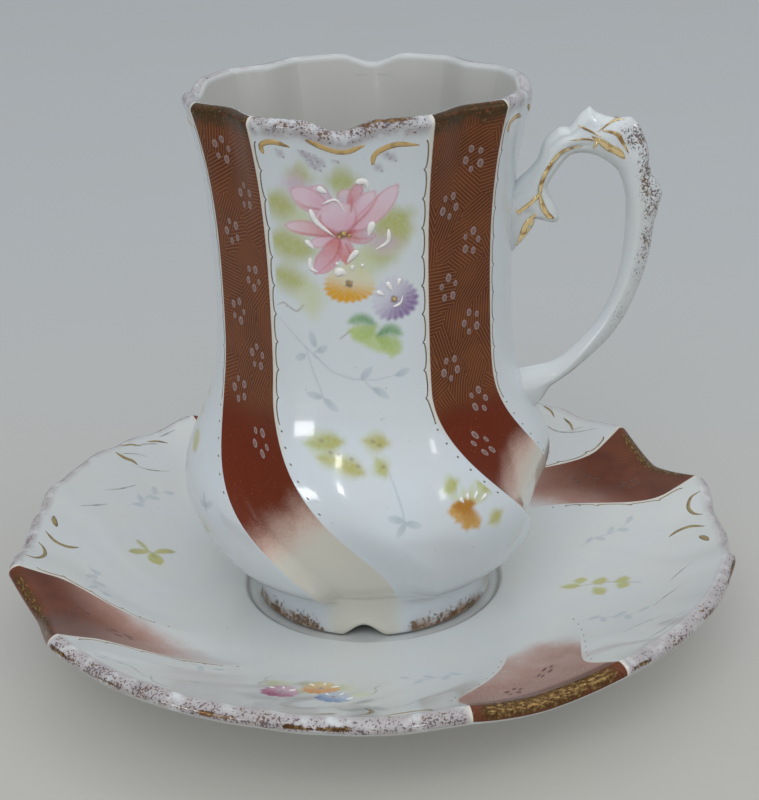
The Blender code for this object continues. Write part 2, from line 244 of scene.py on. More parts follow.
def hatched(recipe, across, along, ground, line, strength):
    """Fine parallel lines over a ground, turned to a random angle in each straight-sided patch."""
    place = recipe.add("ShaderNodeCombineXYZ", {0: across, 1: along}).outputs[0]
    patches = recipe.add("ShaderNodeTexVoronoi", {"Vector": place, "Scale": 1.0 / HATCH_PATCH},
                         voronoi_dimensions="2D")
    turn = recipe.math("MULTIPLY", recipe.split(patches.outputs["Color"])[0], 2.0 * np.pi)
    reach = recipe.math("ADD", recipe.math("MULTIPLY", across, recipe.math("COSINE", turn)),
                        recipe.math("MULTIPLY", along, recipe.math("SINE", turn)))
    wobble = recipe.math("MULTIPLY", recipe.noise(1.5, 1.0, vector=place), 0.25)
    count = recipe.math("ADD", recipe.math("DIVIDE", reach, HATCH_PITCH), wobble)
    off_line = recipe.math("ABSOLUTE", recipe.math("SUBTRACT", recipe.math("FRACT", count), 0.5))
    return recipe.mix(recipe.math("MULTIPLY", recipe.rise(off_line, 0.20, 0.06), strength), ground, line)


def dish_columns():
    """Angles from a band's first tip: close together on the bands, evenly spaced on the panels."""
    band = np.linspace(0.0, DISH_BAND_ANGLE, 33)[:-1]
    panel = np.linspace(DISH_BAND_ANGLE, SECTOR, 69)[:-1]
    one = np.concatenate([band, panel])
    return np.concatenate([one + SECTOR * k for k in range(4)])


def dish_dip(column):
    """How far the rim falls and draws in: one hollow on a band, a short and a long one on a panel.

    Two sine waves of unlike pitch flute the panels' rim by a little.
    """
    along = column % SECTOR
    across = (along - DISH_BAND_ANGLE) / (SECTOR - DISH_BAND_ANGLE)
    band = BAND_DIP * (1.0 - np.abs(2.0 * along / DISH_BAND_ANGLE - 1.0) ** 1.5)
    panel = SHORT_DIP * bump((across - 0.14) / 0.14)
    panel = panel + LONG_DIP * bump((across - 0.82) / np.where(across > 0.82, 0.18, 0.34))
    flutes = np.sin(np.radians(28.0 * column)) + 0.6 * np.sin(np.radians(44.0 * column) + 1.0)
    panel = panel + FLUTE_DEPTH * flutes * ease(4.0 * across) * ease(4.0 - 4.0 * across)
    return np.where(along < DISH_BAND_ANGLE, band, panel)


def dish_turn(radius):
    """How far the bands have curled at a radius: nothing near the rim, a steady ease towards the well."""
    return DISH_BAND_START + DISH_SWIRL * ease((DISH_SWIRL_START - radius) / DISH_SWIRL_WIDTH)


def dish_rise(column, share):
    """Radius and height of the dish from the well's edge at share 0 to the crest of the lip at share 1."""
    dip = dish_dip(column)
    radius = WELL_EDGE + (TIP_RADIUS - dip - LIP_ROLL - WELL_EDGE) * share
    height = WELL_LIP + (TIP_HEIGHT - dip - WELL_LIP) * share**DISH_RISE_POWER
    return radius, height


def dish_row(column, share, drop=0.0):
    radius, height = dish_rise(column, share)
    return ring(radius, column + dish_turn(radius), height - drop)


def dish_lip(column, turned):
    """The rolled lip: half an ellipse from its crest, at 90 degrees, over its edge and underneath."""
    dip = dish_dip(column)
    out = LIP_ROLL * np.cos(np.radians(turned))
    up = LIP_HALF_HEIGHT * (np.sin(np.radians(turned)) - 1.0)
    return ring(TIP_RADIUS - dip - LIP_ROLL + out, column + DISH_BAND_START, TIP_HEIGHT - dip + up)


def dish_ground(column, radius):
    """For the painter: distance across from a band's middle, in from the tips, and in from its edge."""
    from_middle = (column - DISH_BAND_ANGLE / 2 + SECTOR / 2) % SECTOR - SECTOR / 2
    across = np.radians(from_middle) * radius
    edge = np.radians(DISH_BAND_ANGLE / 2 - np.abs(from_middle)) * radius
    return np.stack([across, TIP_RADIUS - radius, edge], axis=-1)


UNDER_ROWS = 24
LIP_ROWS = 16
TOP_ROWS = 131
columns = dish_columns()
inner_turn = columns + DISH_BAND_START + DISH_SWIRL
under = WELL_FLOOR - DISH_WALL
ring_in, ring_out = RING_RADIUS - RING_HALF_WIDTH, RING_RADIUS + RING_HALF_WIDTH
foot_profile = [(8.0, under), (20.0, under), (ring_in - 0.6, under), (ring_in, 0.6), (ring_in + 0.15, 0.2),
                (ring_in + 0.5, 0.0), (ring_out - 0.5, 0.0), (ring_out - 0.15, 0.2), (ring_out, 0.6)]
rows = [ring(radius, inner_turn, height) for radius, height in foot_profile]
first_share = (ring_out + 0.6 - WELL_EDGE) / (TIP_RADIUS - LIP_ROLL - WELL_EDGE)
rows += [dish_row(columns, share, DISH_WALL) for share in np.linspace(first_share, 0.955, UNDER_ROWS)]
rows += [dish_lip(columns, turned) for turned in np.linspace(-75.0, 90.0, LIP_ROWS)]
rows += [dish_row(columns, share) for share in np.linspace(1.0, 0.0, TOP_ROWS + 1)[1:]]
well_edge = [(0.5, 0.65), (0.25, 0.40), (0.0, 0.16), (-0.3, 0.04), (-0.7, 0.0), (-7.4, 0.0), (-15.4, 0.0)]
rows += [ring(WELL_RADIUS + out, inner_turn, WELL_FLOOR + up) for out, up in well_edge]
dish = np.stack(rows)
dish_radius = np.hypot(dish[..., 0], dish[..., 1])
lip_start = len(foot_profile) + UNDER_ROWS
on_top = np.arange(len(rows))[:, None] >= lip_start
place = dish_ground(columns[None, :], dish_radius)
on_panel = ease((-place[..., 2] - 0.2) / 0.8)
rim_radius = TIP_RADIUS - dish_dip(columns)
from_rim = rim_radius[None, :] - dish_radius
lip_rows = np.clip((np.arange(len(rows))[:, None] - lip_start) / LIP_ROWS, 0.0, 1.0)
dabbing = 0.80 + 0.20 * np.cos(np.radians(columns + DISH_BAND_START - 235.0))
dabbed = np.maximum(bump((lip_rows - 0.50) / 0.20), 0.80 * (1.0 - ease((from_rim - 0.8) / 2.2)))
dabbed = dabbed * dabbing * ease((lip_rows - 0.28) / 0.12)
sponge = np.where(on_top, on_panel * dabbed, 0.0)[..., None]
band_number = (columns // SECTOR).astype(int)
RUBBED_BAND = 3
rubbed_band = (band_number == RUBBED_BAND)[None, :]
on_lip = ease((lip_rows - np.where(rubbed_band, 0.32, 0.46)) / 0.12)
on_lip = on_lip * (1.0 - ease((from_rim - np.array([2.1, 1.2, 0.9, 1.7])[band_number]) / 1.1))
# Painted highlight: on the rubbed band the gilt rises along the lip's crest, turning the leaf brighter
# where the crest faces the light.
crest_highlight = np.where(rubbed_band, 0.80 + 0.40 * bump((lip_rows - 0.72) / 0.30), 0.86)
gilt = on_lip * crest_highlight * ease((place[..., 2] + 0.2) / 3.2)
turn = np.radians(columns)
in_places = ease(0.1 + np.sin(9.0 * turn + 0.6) + np.cos(23.0 * turn))
edge_line = bump((lip_rows - 0.52) / 0.16) * on_panel * in_places
gilt = np.where(on_top, np.maximum(gilt, 0.95 * edge_line), 0.0)[..., None]
place[..., 2] = np.where(on_top & (lip_rows > 0.36), place[..., 2], -5.0)
rubbed_fade = 1.8 + 13.2 * ease((from_rim - 1.8) / 3.0) + 0.2 * np.maximum(from_rim - 3.0, 0.0)
rubbed_fade += 6.0 * ease((from_rim - 18.0 + 0.45 * place[..., 0]) / 5.0)
fade_shift = np.array([-1.5, 0.0, 2.5, 0.0])[band_number] * ease((from_rim - 2.0) / 4.0)
place[..., 1] = np.where(rubbed_band & (from_rim > 1.8), rubbed_fade, from_rim + fade_shift)
bare = np.where((dish[..., 2:] < 0.1) & ~on_top[..., None], 1.0, 0.0)

DISH_WHITES = (0.665, 0.68, 0.665), (0.655, 0.685, 0.69)
CHESTNUT = (0.150, 0.038, 0.014)
CHESTNUT_DEEP = (0.108, 0.026, 0.010)
DULL_HATCH = (0.22, 0.115, 0.055)
ROSE = (0.46, 0.27, 0.22)
IVORY_LINE = (0.72, 0.66, 0.57)
BISQUE = (0.56, 0.53, 0.48)
DARK_BISQUE = (0.47, 0.43, 0.37)


def dusted(recipe, place, cloud, size, spread):
    """A place along a band, shifted by fine dust and a slow drift, for the ground to fade along."""
    dust = recipe.math("MULTIPLY_ADD", recipe.noise(size, 2.0), spread, -spread / 2)
    drift = recipe.math("MULTIPLY_ADD", cloud, 4.0, -2.0)
    return recipe.math("ADD", place, recipe.math("ADD", dust, drift))


def margined(recipe, colour, edge, reach):
    """A narrow ivory line just outside a band's edge, as far along it as the reach is above 0."""
    line = recipe.math("MULTIPLY", recipe.rise(edge, -0.60, -0.45), reach)
    return recipe.mix(recipe.math("MULTIPLY", line, 0.7), colour, IVORY_LINE)


def fired(recipe, colour, metal, satin, painted, matt, gloss):
    """Sets the finish: clear glaze, satin over gold and colour, and bare clay where the foot ring stood.

    The roughness is the gloss plus the matt times the satin, and the clear coat thins as the satin rises.
    """
    bare = recipe.rise(recipe.detail("bare").outputs["Fac"], 0.3, 0.6)
    clay = recipe.mix(recipe.noise(0.8, 3.0), BISQUE, DARK_BISQUE)
    roughness = recipe.math("MULTIPLY_ADD", bare, 0.5, recipe.math("MULTIPLY_ADD", satin, matt, gloss))
    recipe.set(Base_Color=recipe.mix(bare, colour, clay), Metallic=metal, Roughness=roughness, **GLAZE_COAT)
    coat = recipe.math("MULTIPLY_ADD", recipe.math("MAXIMUM", satin, bare), -0.6, 0.6)
    recipe.set(Coat_Weight=coat, Specular_IOR_Level=recipe.math("MULTIPLY_ADD", painted, -0.3, 0.5))


def saucer_glaze():
    """White glaze, chestnut bands that are dusted thinner inwards, a gilt band lip and a sponged rim."""
    recipe = Recipe("saucer_glaze")
    colour = white_glaze(recipe, *DISH_WHITES)
    across, inward, edge = recipe.split(recipe.detail("place").outputs["Vector"])
    cloud = recipe.noise(4.0, 3.0)
    brown = recipe.mix(recipe.rise(cloud, 0.35, 0.7), CHESTNUT, CHESTNUT_DEEP)
    lines = hatched(recipe, across, inward, brown, DULL_HATCH, 0.3)
    brown = recipe.mix(recipe.rise(inward, 9.0, 2.5), brown, lines)
    thin = dusted(recipe, inward, cloud, 0.3, 3.0)
    ground = recipe.mix(recipe.rise(thin, 7.5, 21.0), brown, ROSE)
    cover = recipe.math("MULTIPLY", recipe.rise(thin, 24.5, 16.0), recipe.rise(edge, 0.0, 0.16))
    colour = margined(recipe, colour, edge, recipe.rise(inward, 20.0, 14.0))
    colour = recipe.mix(cover, colour, ground)
    sponge, gilt = recipe.detail("sponge").outputs["Fac"], recipe.detail("gilt").outputs["Fac"]
    round_rim, off_rim = recipe.math("MULTIPLY", across, 0.45), recipe.math("MULTIPLY", inward, 1.3)
    brushed = recipe.add("ShaderNodeCombineXYZ", {0: round_rim, 1: off_rim}).outputs[0]
    colour, metal = sponged(recipe, colour, sponge, gilt, grain=0.28, haze=0.85, brushed=brushed)
    satin = recipe.math("MAXIMUM", metal, recipe.math("MULTIPLY", cover, 0.8))
    fired(recipe, colour, metal, satin, cover, 0.18, 0.13)
    rubbing = recipe.math("MULTIPLY", metal, recipe.noise(0.4, 2.0))
    recipe.relief(recipe.math("MULTIPLY_ADD", rubbing, 2.5, recipe.noise(5.0, 2.0)), 0.25, 0.06)
    return recipe.material


details = {"place": [place], "sponge": [sponge], "gilt": [gilt], "bare": [bare]}
saucer = skin("saucer", [dish], saucer_glaze(), **details)
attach(saucer, "saucer")
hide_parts("saucer")

# Saucer painting
# Overglaze enamels on the dish: a small spray of flowers on the front panel, loose leaf sprigs on the
# others, raised white touches, and fine gold scrolls beside the bands. All are films fired onto the glaze.


def pigment(red, green, blue):
    """The reflectance of a colour given from 0 to 255 as it looks on this glaze under plain light."""
    return 1.3 * (np.array([red, green, blue]) / 255.0) ** 2.2


def follow(path, count):
    """Points along a smooth Catmull-Rom curve through a few given points."""
    knots = np.asarray(path, float)
    knots = np.concatenate([2 * knots[:1] - knots[1:2], knots, 2 * knots[-1:] - knots[-2:-1]])
    at = np.linspace(0.0, len(path) - 1.0, count)
    start = np.minimum(at.astype(int), len(path) - 2)
    t = (at - start)[:, None]
    a, b, c, d = (knots[start + k] for k in range(4))
    return b + 0.5 * t * (c - a + t * (2 * a - 5 * b + 4 * c - d + t * (3 * b - a - 3 * c + d)))


class Canvas:
    """Glaze under the painter's brush: points with two places in millimetres, a colour and its cover."""

    def __init__(self, x, y):
        self.x, self.y = x, y
        self.colour = np.zeros((*x.shape, 3))
        self.cover = np.zeros((*x.shape, 1))

    def lay(self, cover, colour):
        cover = np.clip(cover, 0.0, 1.0)[..., None]
        self.colour = colour * cover + self.colour * (1.0 - cover)
        self.cover = cover + self.cover * (1.0 - cover)

    def stroke(self, path, width, colour, tip=None, strength=0.8, soft=0.3, widest=0.6, outline=None,
               point=0.5):
        """A soft brush mark along a path, rounded at both ends and fading from its colour to its tip.

        An outline is one more colour, drawn as a thin line just inside the mark's border. The mark's half
        width is an ellipse's at point 0.5 and runs to sharper ends as point grows.
        """
        knots = follow(path, 10)
        near = np.full(self.x.shape, 1e6)
        share = np.zeros(self.x.shape)
        for k in range(len(knots) - 1):
            step = knots[k + 1] - knots[k]
            dx, dy = self.x - knots[k, 0], self.y - knots[k, 1]
            t = np.clip((dx * step[0] + dy * step[1]) / (step @ step), 0.0, 1.0)
            off = np.hypot(dx - t * step[0], dy - t * step[1])
            share = np.where(off < near, (k + t) / (len(knots) - 1), share)
            near = np.minimum(near, off)
        side = np.where(share < widest, widest, 1.0 - widest)
        full = width * np.clip(1.0 - ((share - widest) / side) ** 2, 0.05, 1.0) ** point
        tip = colour if tip is None else tip
        shade = np.asarray(colour) + (np.asarray(tip) - colour) * ease(share)[..., None]
        self.lay(strength * ease(0.5 + (full - near) / (2.0 * soft)), shade)
        if outline is not None:
            self.lay(0.5 * strength * bump((full - near - 0.10) / 0.28), outline)

    def daisy(self, centre, size, rays, low, high, lean, strength=0.9, thin=0.6):
        """A round fringed bloom whose colour turns from low to high, and thins, towards an angle."""
        dx, dy = (self.x - centre[0]) / size[0], (self.y - centre[1]) / size[1]
        turn, out = np.arctan2(dy, dx), np.hypot(dx, dy)
        limit = 0.90 + 0.10 * np.abs(np.cos(rays / 2 * turn)) + 0.05 * np.cos(3.0 * turn + 1.0)
        streak = 0.91 + 0.09 * np.cos(rays * turn)
        share = ease(0.5 + 0.7 * (dx * np.cos(np.radians(lean)) + dy * np.sin(np.radians(lean))))[..., None]
        cover = strength * streak * ease(0.5 + (limit - out) / 0.22) * ease(out / 0.22)
        self.lay(cover * (1.0 - thin * share[..., 0]), np.asarray(low) + (np.asarray(high) - low) * share)

    def paint(self):
        """Colour and cover for each point; bare points take the glaze's own white."""
        bare = np.array([0.70, 0.74, 0.76])
        colour = np.where(self.cover > 0.002, self.colour / np.maximum(self.cover, 0.002), bare)
        return np.concatenate([colour, self.cover], axis=-1)


FILM_SINK = -0.008
FILM_RISE = 0.020
FILM_BED = -0.9


def patch(surface, u_range, v_range, pitch, room=None):
    """A thin closed sheet of glaze over a surface, sunk at its border, with places u and v for its points.

    Each ring crosses the sheet on top and returns underneath, inside the wall. The sheet also stays sunk
    where the room left for it, in millimetres, runs out.
    """
    u = np.linspace(*u_range, int((u_range[1] - u_range[0]) / pitch) + 1)
    v = np.linspace(*v_range, int((v_range[1] - v_range[0]) / pitch) + 1)
    u_all = np.concatenate([u, np.linspace(u_range[1], u_range[0], 8)])
    grid_u, grid_v = np.meshgrid(u_all, v)
    margin = np.minimum(np.minimum(grid_u - u_range[0], u_range[1] - grid_u),
                        np.minimum(grid_v - v_range[0], v_range[1] - grid_v))
    if room is not None:
        margin = np.minimum(margin, room(grid_u, grid_v))
    lift = FILM_SINK + FILM_RISE * ease(margin / 2.5)
    lift[:, len(u):] = FILM_BED
    lift[[0, -1]] = FILM_BED
    return surface(grid_u, grid_v, lift), grid_u, grid_v


def bead(surface, path, width, height, count=9, sides=6, taper=(0.2, 0.5)):
    """A raised brush stroke: lens-shaped sections along a path, drawn out finer towards its ends."""
    spine = follow(path, count)
    along = np.gradient(spine, axis=0)
    along /= np.linalg.norm(along, axis=1)[:, None]
    share = np.linspace(0.0, 1.0, count)
    full = np.sqrt(ease((share + 0.04) / taper[0]) * ease((1.04 - share) / taper[1]))[:, None]
    turn = 2.0 * np.pi * np.arange(sides) / sides
    side = np.cos(turn) * width * full
    u = spine[:, :1] - along[:, 1:] * side
    v = spine[:, 1:] + along[:, :1] * side
    return surface(u, v, np.sin(turn) * height * full)


DOT_SIDES = 8


def spot(surface, place, width, height, stretch=1.0):
    """A small raised dot: three rings drawn in to the middle, with its tall axis stretched."""
    size = np.array([1.0, 0.74, 0.42])[:, None]
    lift = np.array([-0.4, 0.8, 0.9])[:, None] * height
    turn = 2.0 * np.pi * np.arange(DOT_SIDES) / DOT_SIDES
    u = place[0] + width * size * np.cos(turn)
    v = place[1] + width * size * np.sin(turn) * stretch
    return surface(u, v, lift + 0.0 * u)


def dish_height(radius, column):
    """Height of the dish's upper face at a radius, from the same rise as its rows."""
    dip = dish_dip(column)
    share = (radius - WELL_EDGE) / (TIP_RADIUS - dip - LIP_ROLL - WELL_EDGE)
    return WELL_LIP + (TIP_HEIGHT - dip - WELL_LIP) * np.clip(share, 0.0, 1.0) ** DISH_RISE_POWER


def on_dish(angle, radius):
    """A surface for films on the dish: u runs round it and v inwards, from a place on its upper face."""

    def surface(u, v, lift):
        out = radius - v
        turn = angle + np.degrees(u / radius)
        return ring(out, turn, dish_height(out, turn - dish_turn(out)) + lift)

    return surface


OLIVE = pigment(148, 145, 88)
LEAF = pigment(160, 165, 100)
PALE_LEAF = pigment(182, 188, 158)
BLUE_GREY = pigment(150, 163, 172)
TWIG = pigment(128, 112, 98)
MOSS = pigment(164, 160, 92)
HEART = pigment(108, 86, 60)


def leaned(path, lean):
    """A path as it is drawn, or mirrored where the lean is -1."""
    return [(x * lean, y) for x, y in path]


SPRIG_TWIG = [(-2.6, -2.9), (-1.0, -0.7), (-0.5, 0.4), (-2.2, 2.6)]
SPRIG_LEAVES = [([(-0.6, -0.2), (0.3, -1.7), (1.2, -3.2)], 0.85, MOSS, OLIVE, 0.9),
                ([(-0.8, -0.6), (-1.8, -1.6), (-2.8, -3.1)], 0.45, LEAF, OLIVE, 0.8),
                ([(-0.4, 0.4), (1.2, 1.3), (2.8, 2.4)], 1.3, LEAF, MOSS, 0.95),
                ([(-0.8, 0.8), (-2.0, 2.0), (-2.9, 3.7)], 0.85, MOSS, OLIVE, 0.9),
                ([(-0.2, 0.5), (1.0, 1.3)], 0.35, TWIG, TWIG, 0.4)]


def dish_sprig(canvas, lean):
    """A loose sprig: broad leaves to both sides of a bent twig."""
    canvas.stroke(leaned(SPRIG_TWIG, lean), 0.13, TWIG, strength=0.6, soft=0.2)
    for path, width, colour, tip, strength in SPRIG_LEAVES:
        canvas.stroke(leaned(path, lean), width, colour, tip, strength)


ROW_TWIG = [(-0.2, 7.4), (0.2, 3.0), (-0.2, -1.5), (-2.2, -6.2)]
ROW_LEAVES = [((0.3, 7.6), (0.2, 4.4), 0.85), ((1.0, 4.6), (3.2, 4.4), 0.95),
              ((0.9, 2.4), (0.8, -0.1), 1.05), ((-0.2, -1.4), (0.0, -3.8), 1.05),
              ((-1.2, 1.8), (-4.0, -0.2), 0.95), ((-1.4, -2.0), (-2.4, -4.0), 0.85)]


def dish_row_sprig(canvas, lean):
    """A sprig of rounded leaves in pairs along a nearly straight twig."""
    canvas.stroke(leaned(ROW_TWIG, lean), 0.12, TWIG, strength=0.6, soft=0.2)
    for start, end, width in ROW_LEAVES:
        path = leaned([start, end], lean)
        canvas.stroke(path, 1.15 * width, LEAF, MOSS, strength=0.9, soft=0.55, point=0.8)


VINE_STEM = [(-4.5, -1.0), (-1.5, 0.6), (1.6, 0.2), (4.6, 1.4)]
VINE_PAIRS = [(-3.2, -0.2, 1.5), (-1.4, 0.6, -1.6), (0.9, 0.4, 1.6), (2.8, 0.6, -1.4), (4.6, 1.4, 1.1)]


def dish_vine(canvas, lean):
    """A faint blue-grey vine with paired leaves."""
    canvas.stroke(leaned(VINE_STEM, lean), 0.13, BLUE_GREY, strength=0.55, soft=0.2)
    for x, y, rise in VINE_PAIRS:
        canvas.stroke(leaned([(x, y), (x + 1.3, y + rise)], lean), 0.5, BLUE_GREY, strength=0.6)


def dish_vine_inward(canvas, lean):
    """The same vine, running in towards the well."""
    canvas.x, canvas.y = canvas.y, canvas.x
    dish_vine(canvas, lean)


DISH_TENDRILS = [[(-3.0, 0.6), (-8.4, 0.2), (-8.0, 2.2), (-8.9, 3.2), (-8.5, 4.8)],
                 [(4.0, 0.4), (8.6, 0.0), (9.8, 1.6), (9.6, 3.2), (10.6, 4.4)]]
DISH_WASHES = [((-8.0, 1.4), (-3.4, 3.2), MOSS), ((-3.0, 3.6), (1.2, 4.4), OLIVE),
               ((2.6, 3.4), (6.4, 2.6), LEAF), ((-2.6, -0.2), (1.6, 0.2), MOSS),
               ((6.0, -0.6), (9.0, 0.6), PALE_LEAF)]
DISH_BLOOMS = [((-4.0, -1.6), (2.7, 3.3), 11, pigment(146, 58, 98), pigment(186, 140, 160), 70),
               ((1.0, 2.4), (2.9, 3.2), 13, pigment(190, 118, 8), pigment(196, 166, 90), 100),
               ((3.8, -1.8), (2.6, 2.9), 11, pigment(88, 120, 166), pigment(156, 174, 196), 60)]


def dish_flowers(canvas, lean):
    """The front spray: a magenta, an orange and a blue bloom among leaves."""
    for path in DISH_TENDRILS:
        canvas.stroke(leaned(path, lean), 0.14, TWIG, strength=0.65, soft=0.2)
    for start, end, wash in DISH_WASHES:
        path = leaned([start, end], lean)
        canvas.stroke(path, 1.3, wash, PALE_LEAF, strength=0.7, soft=1.0, widest=0.4)
    for (x, y), size, rays, low, high, towards in DISH_BLOOMS:
        canvas.daisy((x * lean, y), size, rays, low, high, towards, 1.1, 0.3)
    for (x, y), *_ in DISH_BLOOMS:
        canvas.stroke([(x * lean - 0.3, y), (x * lean + 0.3, y)], 0.45, HEART, soft=0.25)


FRONT_FLOWERS = 263
REAR_FLOWERS = 83
FLOWER_RADIUS = 43.0
DISH_SPRAYS = [(dish_flowers, FRONT_FLOWERS, FLOWER_RADIUS, 1, (12.5, 6.6)),
               (dish_flowers, REAR_FLOWERS, FLOWER_RADIUS, -1, (12.5, 6.6)),
               (dish_sprig, 178, 39.5, 1, (5.5, 6.0)), (dish_row_sprig, 351, 40.0, 1, (6.0, 9.5)),
               (dish_row_sprig, 104, 40.0, 1, (6.0, 9.5)), (dish_vine, 195, 47.5, 1, (7.5, 4.0)),
               (dish_vine, 158, 47.5, -1, (7.5, 4.0)), (dish_vine_inward, 333, 44.0, -1, (4.0, 7.0)),
               (dish_vine_inward, 14, 41.0, -1, (4.0, 7.5)), (dish_vine, 234, 43.5, 1, (7.5, 4.0)),
               (dish_vine, 291, 38.0, -1, (7.5, 4.0))]
sheets, paints = [], []
for painter, angle, radius, lean, (half_width, half_depth) in DISH_SPRAYS:

    def room(u, v):
        turn = angle + np.degrees(u / radius)
        return -0.6 - dish_ground(turn - dish_turn(radius - v), radius - v)[..., 2]

    size = (-half_width, half_width), (-half_depth, half_depth)
    sheet, u, v = patch(on_dish(angle, radius), *size, 0.22, room)
    canvas = Canvas(u, v)
    painter(canvas, lean)
    sheets.append(sheet)
    paints.append(canvas.paint())


def painted_glaze(name, warm, cool):
    """The piece's white glaze with the painter's colours over it, a little uneven where they are thin."""
    recipe = Recipe(name)
    white = white_glaze(recipe, warm, cool)
    paint = recipe.detail("paint")
    grain = recipe.math("MULTIPLY_ADD", recipe.noise(0.5, 3.0), 0.5, 0.75)
    cover = recipe.math("MULTIPLY", paint.outputs["Alpha"], grain)
    recipe.set(Base_Color=recipe.mix(cover, white, paint.outputs["Color"]), Roughness=0.14, **GLAZE_COAT)
    recipe.relief(recipe.noise(5.0, 2.0), 0.25, 0.06)
    return recipe.material


def fire_on(film, body):
    """A film moves with the piece that it is fired onto."""
    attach(film, body)


dish_paint = painted_glaze("saucer_painting", *DISH_WHITES)
saucer_spray = skin("saucer_spray", sheets, dish_paint, paint=paints)
fire_on(saucer_spray, "saucer")


def gold_leaf(name, bright, dull, metal):
    """Burnished gold, rubbed thin and brown in patches."""
    recipe = Recipe(name)
    worn = recipe.rise(recipe.noise(1.8, 2.0, 0.5), 0.50, 0.66)
    thinned = recipe.math("MULTIPLY_ADD", worn, -0.3 * metal, metal)
    roughness = recipe.math("MULTIPLY_ADD", worn, 0.2, 0.14)
    recipe.set(Base_Color=recipe.mix(worn, bright, dull), Metallic=thinned, Roughness=roughness)
    recipe.relief(recipe.noise(0.7, 2.0), 0.10, 0.30)
    return recipe.material


def white_enamel():
    """Raised white enamel: glossy, faintly warm, with thin places."""
    recipe = Recipe("white_enamel")
    thin = recipe.rise(recipe.noise(0.9, 2.0), 0.35, 0.7)
    white = recipe.mix(thin, (0.93, 0.92, 0.90), (0.86, 0.85, 0.83))
    recipe.set(Base_Color=white, Roughness=0.12, **GLAZE_COAT)
    return recipe.material


gold = gold_leaf("gold", (0.42, 0.32, 0.15), (0.19, 0.13, 0.075), 0.45)
enamel = white_enamel()


def beside_dish_band(column):
    """A surface for films that follow a band: u runs off its edge and v inwards from the rim's tips."""

    def surface(u, v, lift):
        out = TIP_RADIUS - v
        at = column + np.degrees(u / out)
        return ring(out, at + dish_turn(out), dish_height(out, at) + lift)

    return surface


SCALLOP = [(1.0, 0.0), (0.40, 0.08), (0.08, 0.30), (0.0, 0.50), (0.08, 0.70), (0.40, 0.92)]


def scallops(first, last, pitch, depth):
    """Knots of a scalloped line: cusps that stand out by the depth, with a shallow arc between each two."""
    knots = []
    onward = np.sign(last - first) * pitch
    for start in np.arange(first, last, onward):
        knots += [(depth * out, start + share * onward) for out, share in SCALLOP]
    return knots


HOOK = [(3.4, -1.4), (3.1, 0.4), (0.8, 1.5), (-1.7, 1.1), (-3.2, -0.1)]
CRESCENT = [(-0.4, 2.9), (0.6, 1.2), (0.3, -0.9), (-1.6, -2.9)]
DAB = [(1.2, 0.7), (-0.2, 0.0), (-1.7, -0.6)]
COMMA = [(0.6, -1.3), (0.2, 0.3), (-0.6, 1.6), (-0.7, 2.9)]
LOOP = [(1.5, -1.6), (-0.6, -0.9), (-2.2, 0.3)]
EVERY_PANEL = range(4)
REAR_PANELS = (1, 2)
DISH_SCROLLS = [(HOOK, 10.3, 56.7, 0.30, EVERY_PANEL), (CRESCENT, 4.6, 53.4, 0.40, EVERY_PANEL),
                (DAB, 359.0, 55.8, 0.46, EVERY_PANEL), (COMMA, 331.5, 56.6, 0.40, REAR_PANELS),
                (LOOP, 328.5, 57.0, 0.18, REAR_PANELS), (LOOP, 323.0, 55.6, 0.22, REAR_PANELS)]
films = []
for k in range(4):
    for path, angle, radius, width, panels in DISH_SCROLLS:
        if k in panels:
            where = on_dish(angle + SECTOR * k, radius)
            films.append(bead(where, path, width, 0.06, 16, taper=(0.35, 0.45)))
for k in range(4):
    for column, way in ((SECTOR * k - 0.7, -1), (SECTOR * k + DISH_BAND_ANGLE + 0.7, 1)):
        where = beside_dish_band(column)
        first_dot = 9.0 if k == RUBBED_BAND else 19.0
        if k != RUBBED_BAND:
            line = scallops(4.6, 17.0, 4.1, 0.6 * way)
            films.append(bead(where, line, 0.15, 0.03, 60, taper=(0.05, 0.1)))
        films += [spot(where, (0.4 * way, v), 0.18, 0.04) for v in np.arange(first_dot, 23.0, 1.7)]
saucer_gilding = skin("saucer_gilding", films, gold)
fire_on(saucer_gilding, "saucer")

# Painted shade: faint grey lines swept with the swirl near each panel's rim, standing for the soft shading
# of moulded relief.
STREAK_RADIUS = 55.0
STREAK_ANGLE = 335.0
STRAIGHT_STREAKS = [[(335.9, 50.3), (339.6, 51.5), (342.8, 53.1)],
                    [(345.8, 50.7), (348.4, 52.1), (351.0, 53.9)],
                    [(326.3, 49.6), (329.5, 51.6), (332.0, 54.5)],
                    [(327.4, 54.4), (329.0, 56.0), (331.6, 57.3)],
                    [(322.4, 55.8), (325.0, 56.8), (328.0, 57.4)], [(317.3, 57.4), (321.5, 57.2)]]
CURLED_STREAKS = [[(316.3, 57.4), (320.5, 55.1), (324.8, 54.2), (329.7, 55.8)],
                  [(319.1, 57.0), (322.0, 55.0)],
                  [(328.6, 53.9), (332.0, 56.6), (336.5, 57.3)], [(332.0, 50.9), (335.7, 49.1)]]


def relief_shade_line():
    """A thin grey line that sinks into the glaze, drawn as painted shade of moulded relief."""
    recipe = Recipe("relief_shade_line")
    thin = recipe.rise(recipe.noise(1.5, 2.0), 0.35, 0.65)
    grey = recipe.mix(thin, (0.30, 0.30, 0.29), (0.52, 0.53, 0.52))
    recipe.set(Base_Color=grey, Roughness=0.2, Coat_Weight=0.3)
    return recipe.material


films = []
for k in range(4):
    for path in CURLED_STREAKS if k % 2 else STRAIGHT_STREAKS:
        angle, radius = np.transpose(path)
        round_rim = np.radians(angle + SECTOR * k - STREAK_ANGLE) * STREAK_RADIUS
        streak = np.stack([round_rim, STREAK_RADIUS - radius], axis=1)
        where = on_dish(STREAK_ANGLE, STREAK_RADIUS)
        films.append(bead(where, streak, 0.16, 0.03, 24, taper=(0.5, 0.6)))
saucer_streaks = skin("saucer_streaks", films, relief_shade_line())
fire_on(saucer_streaks, "saucer")

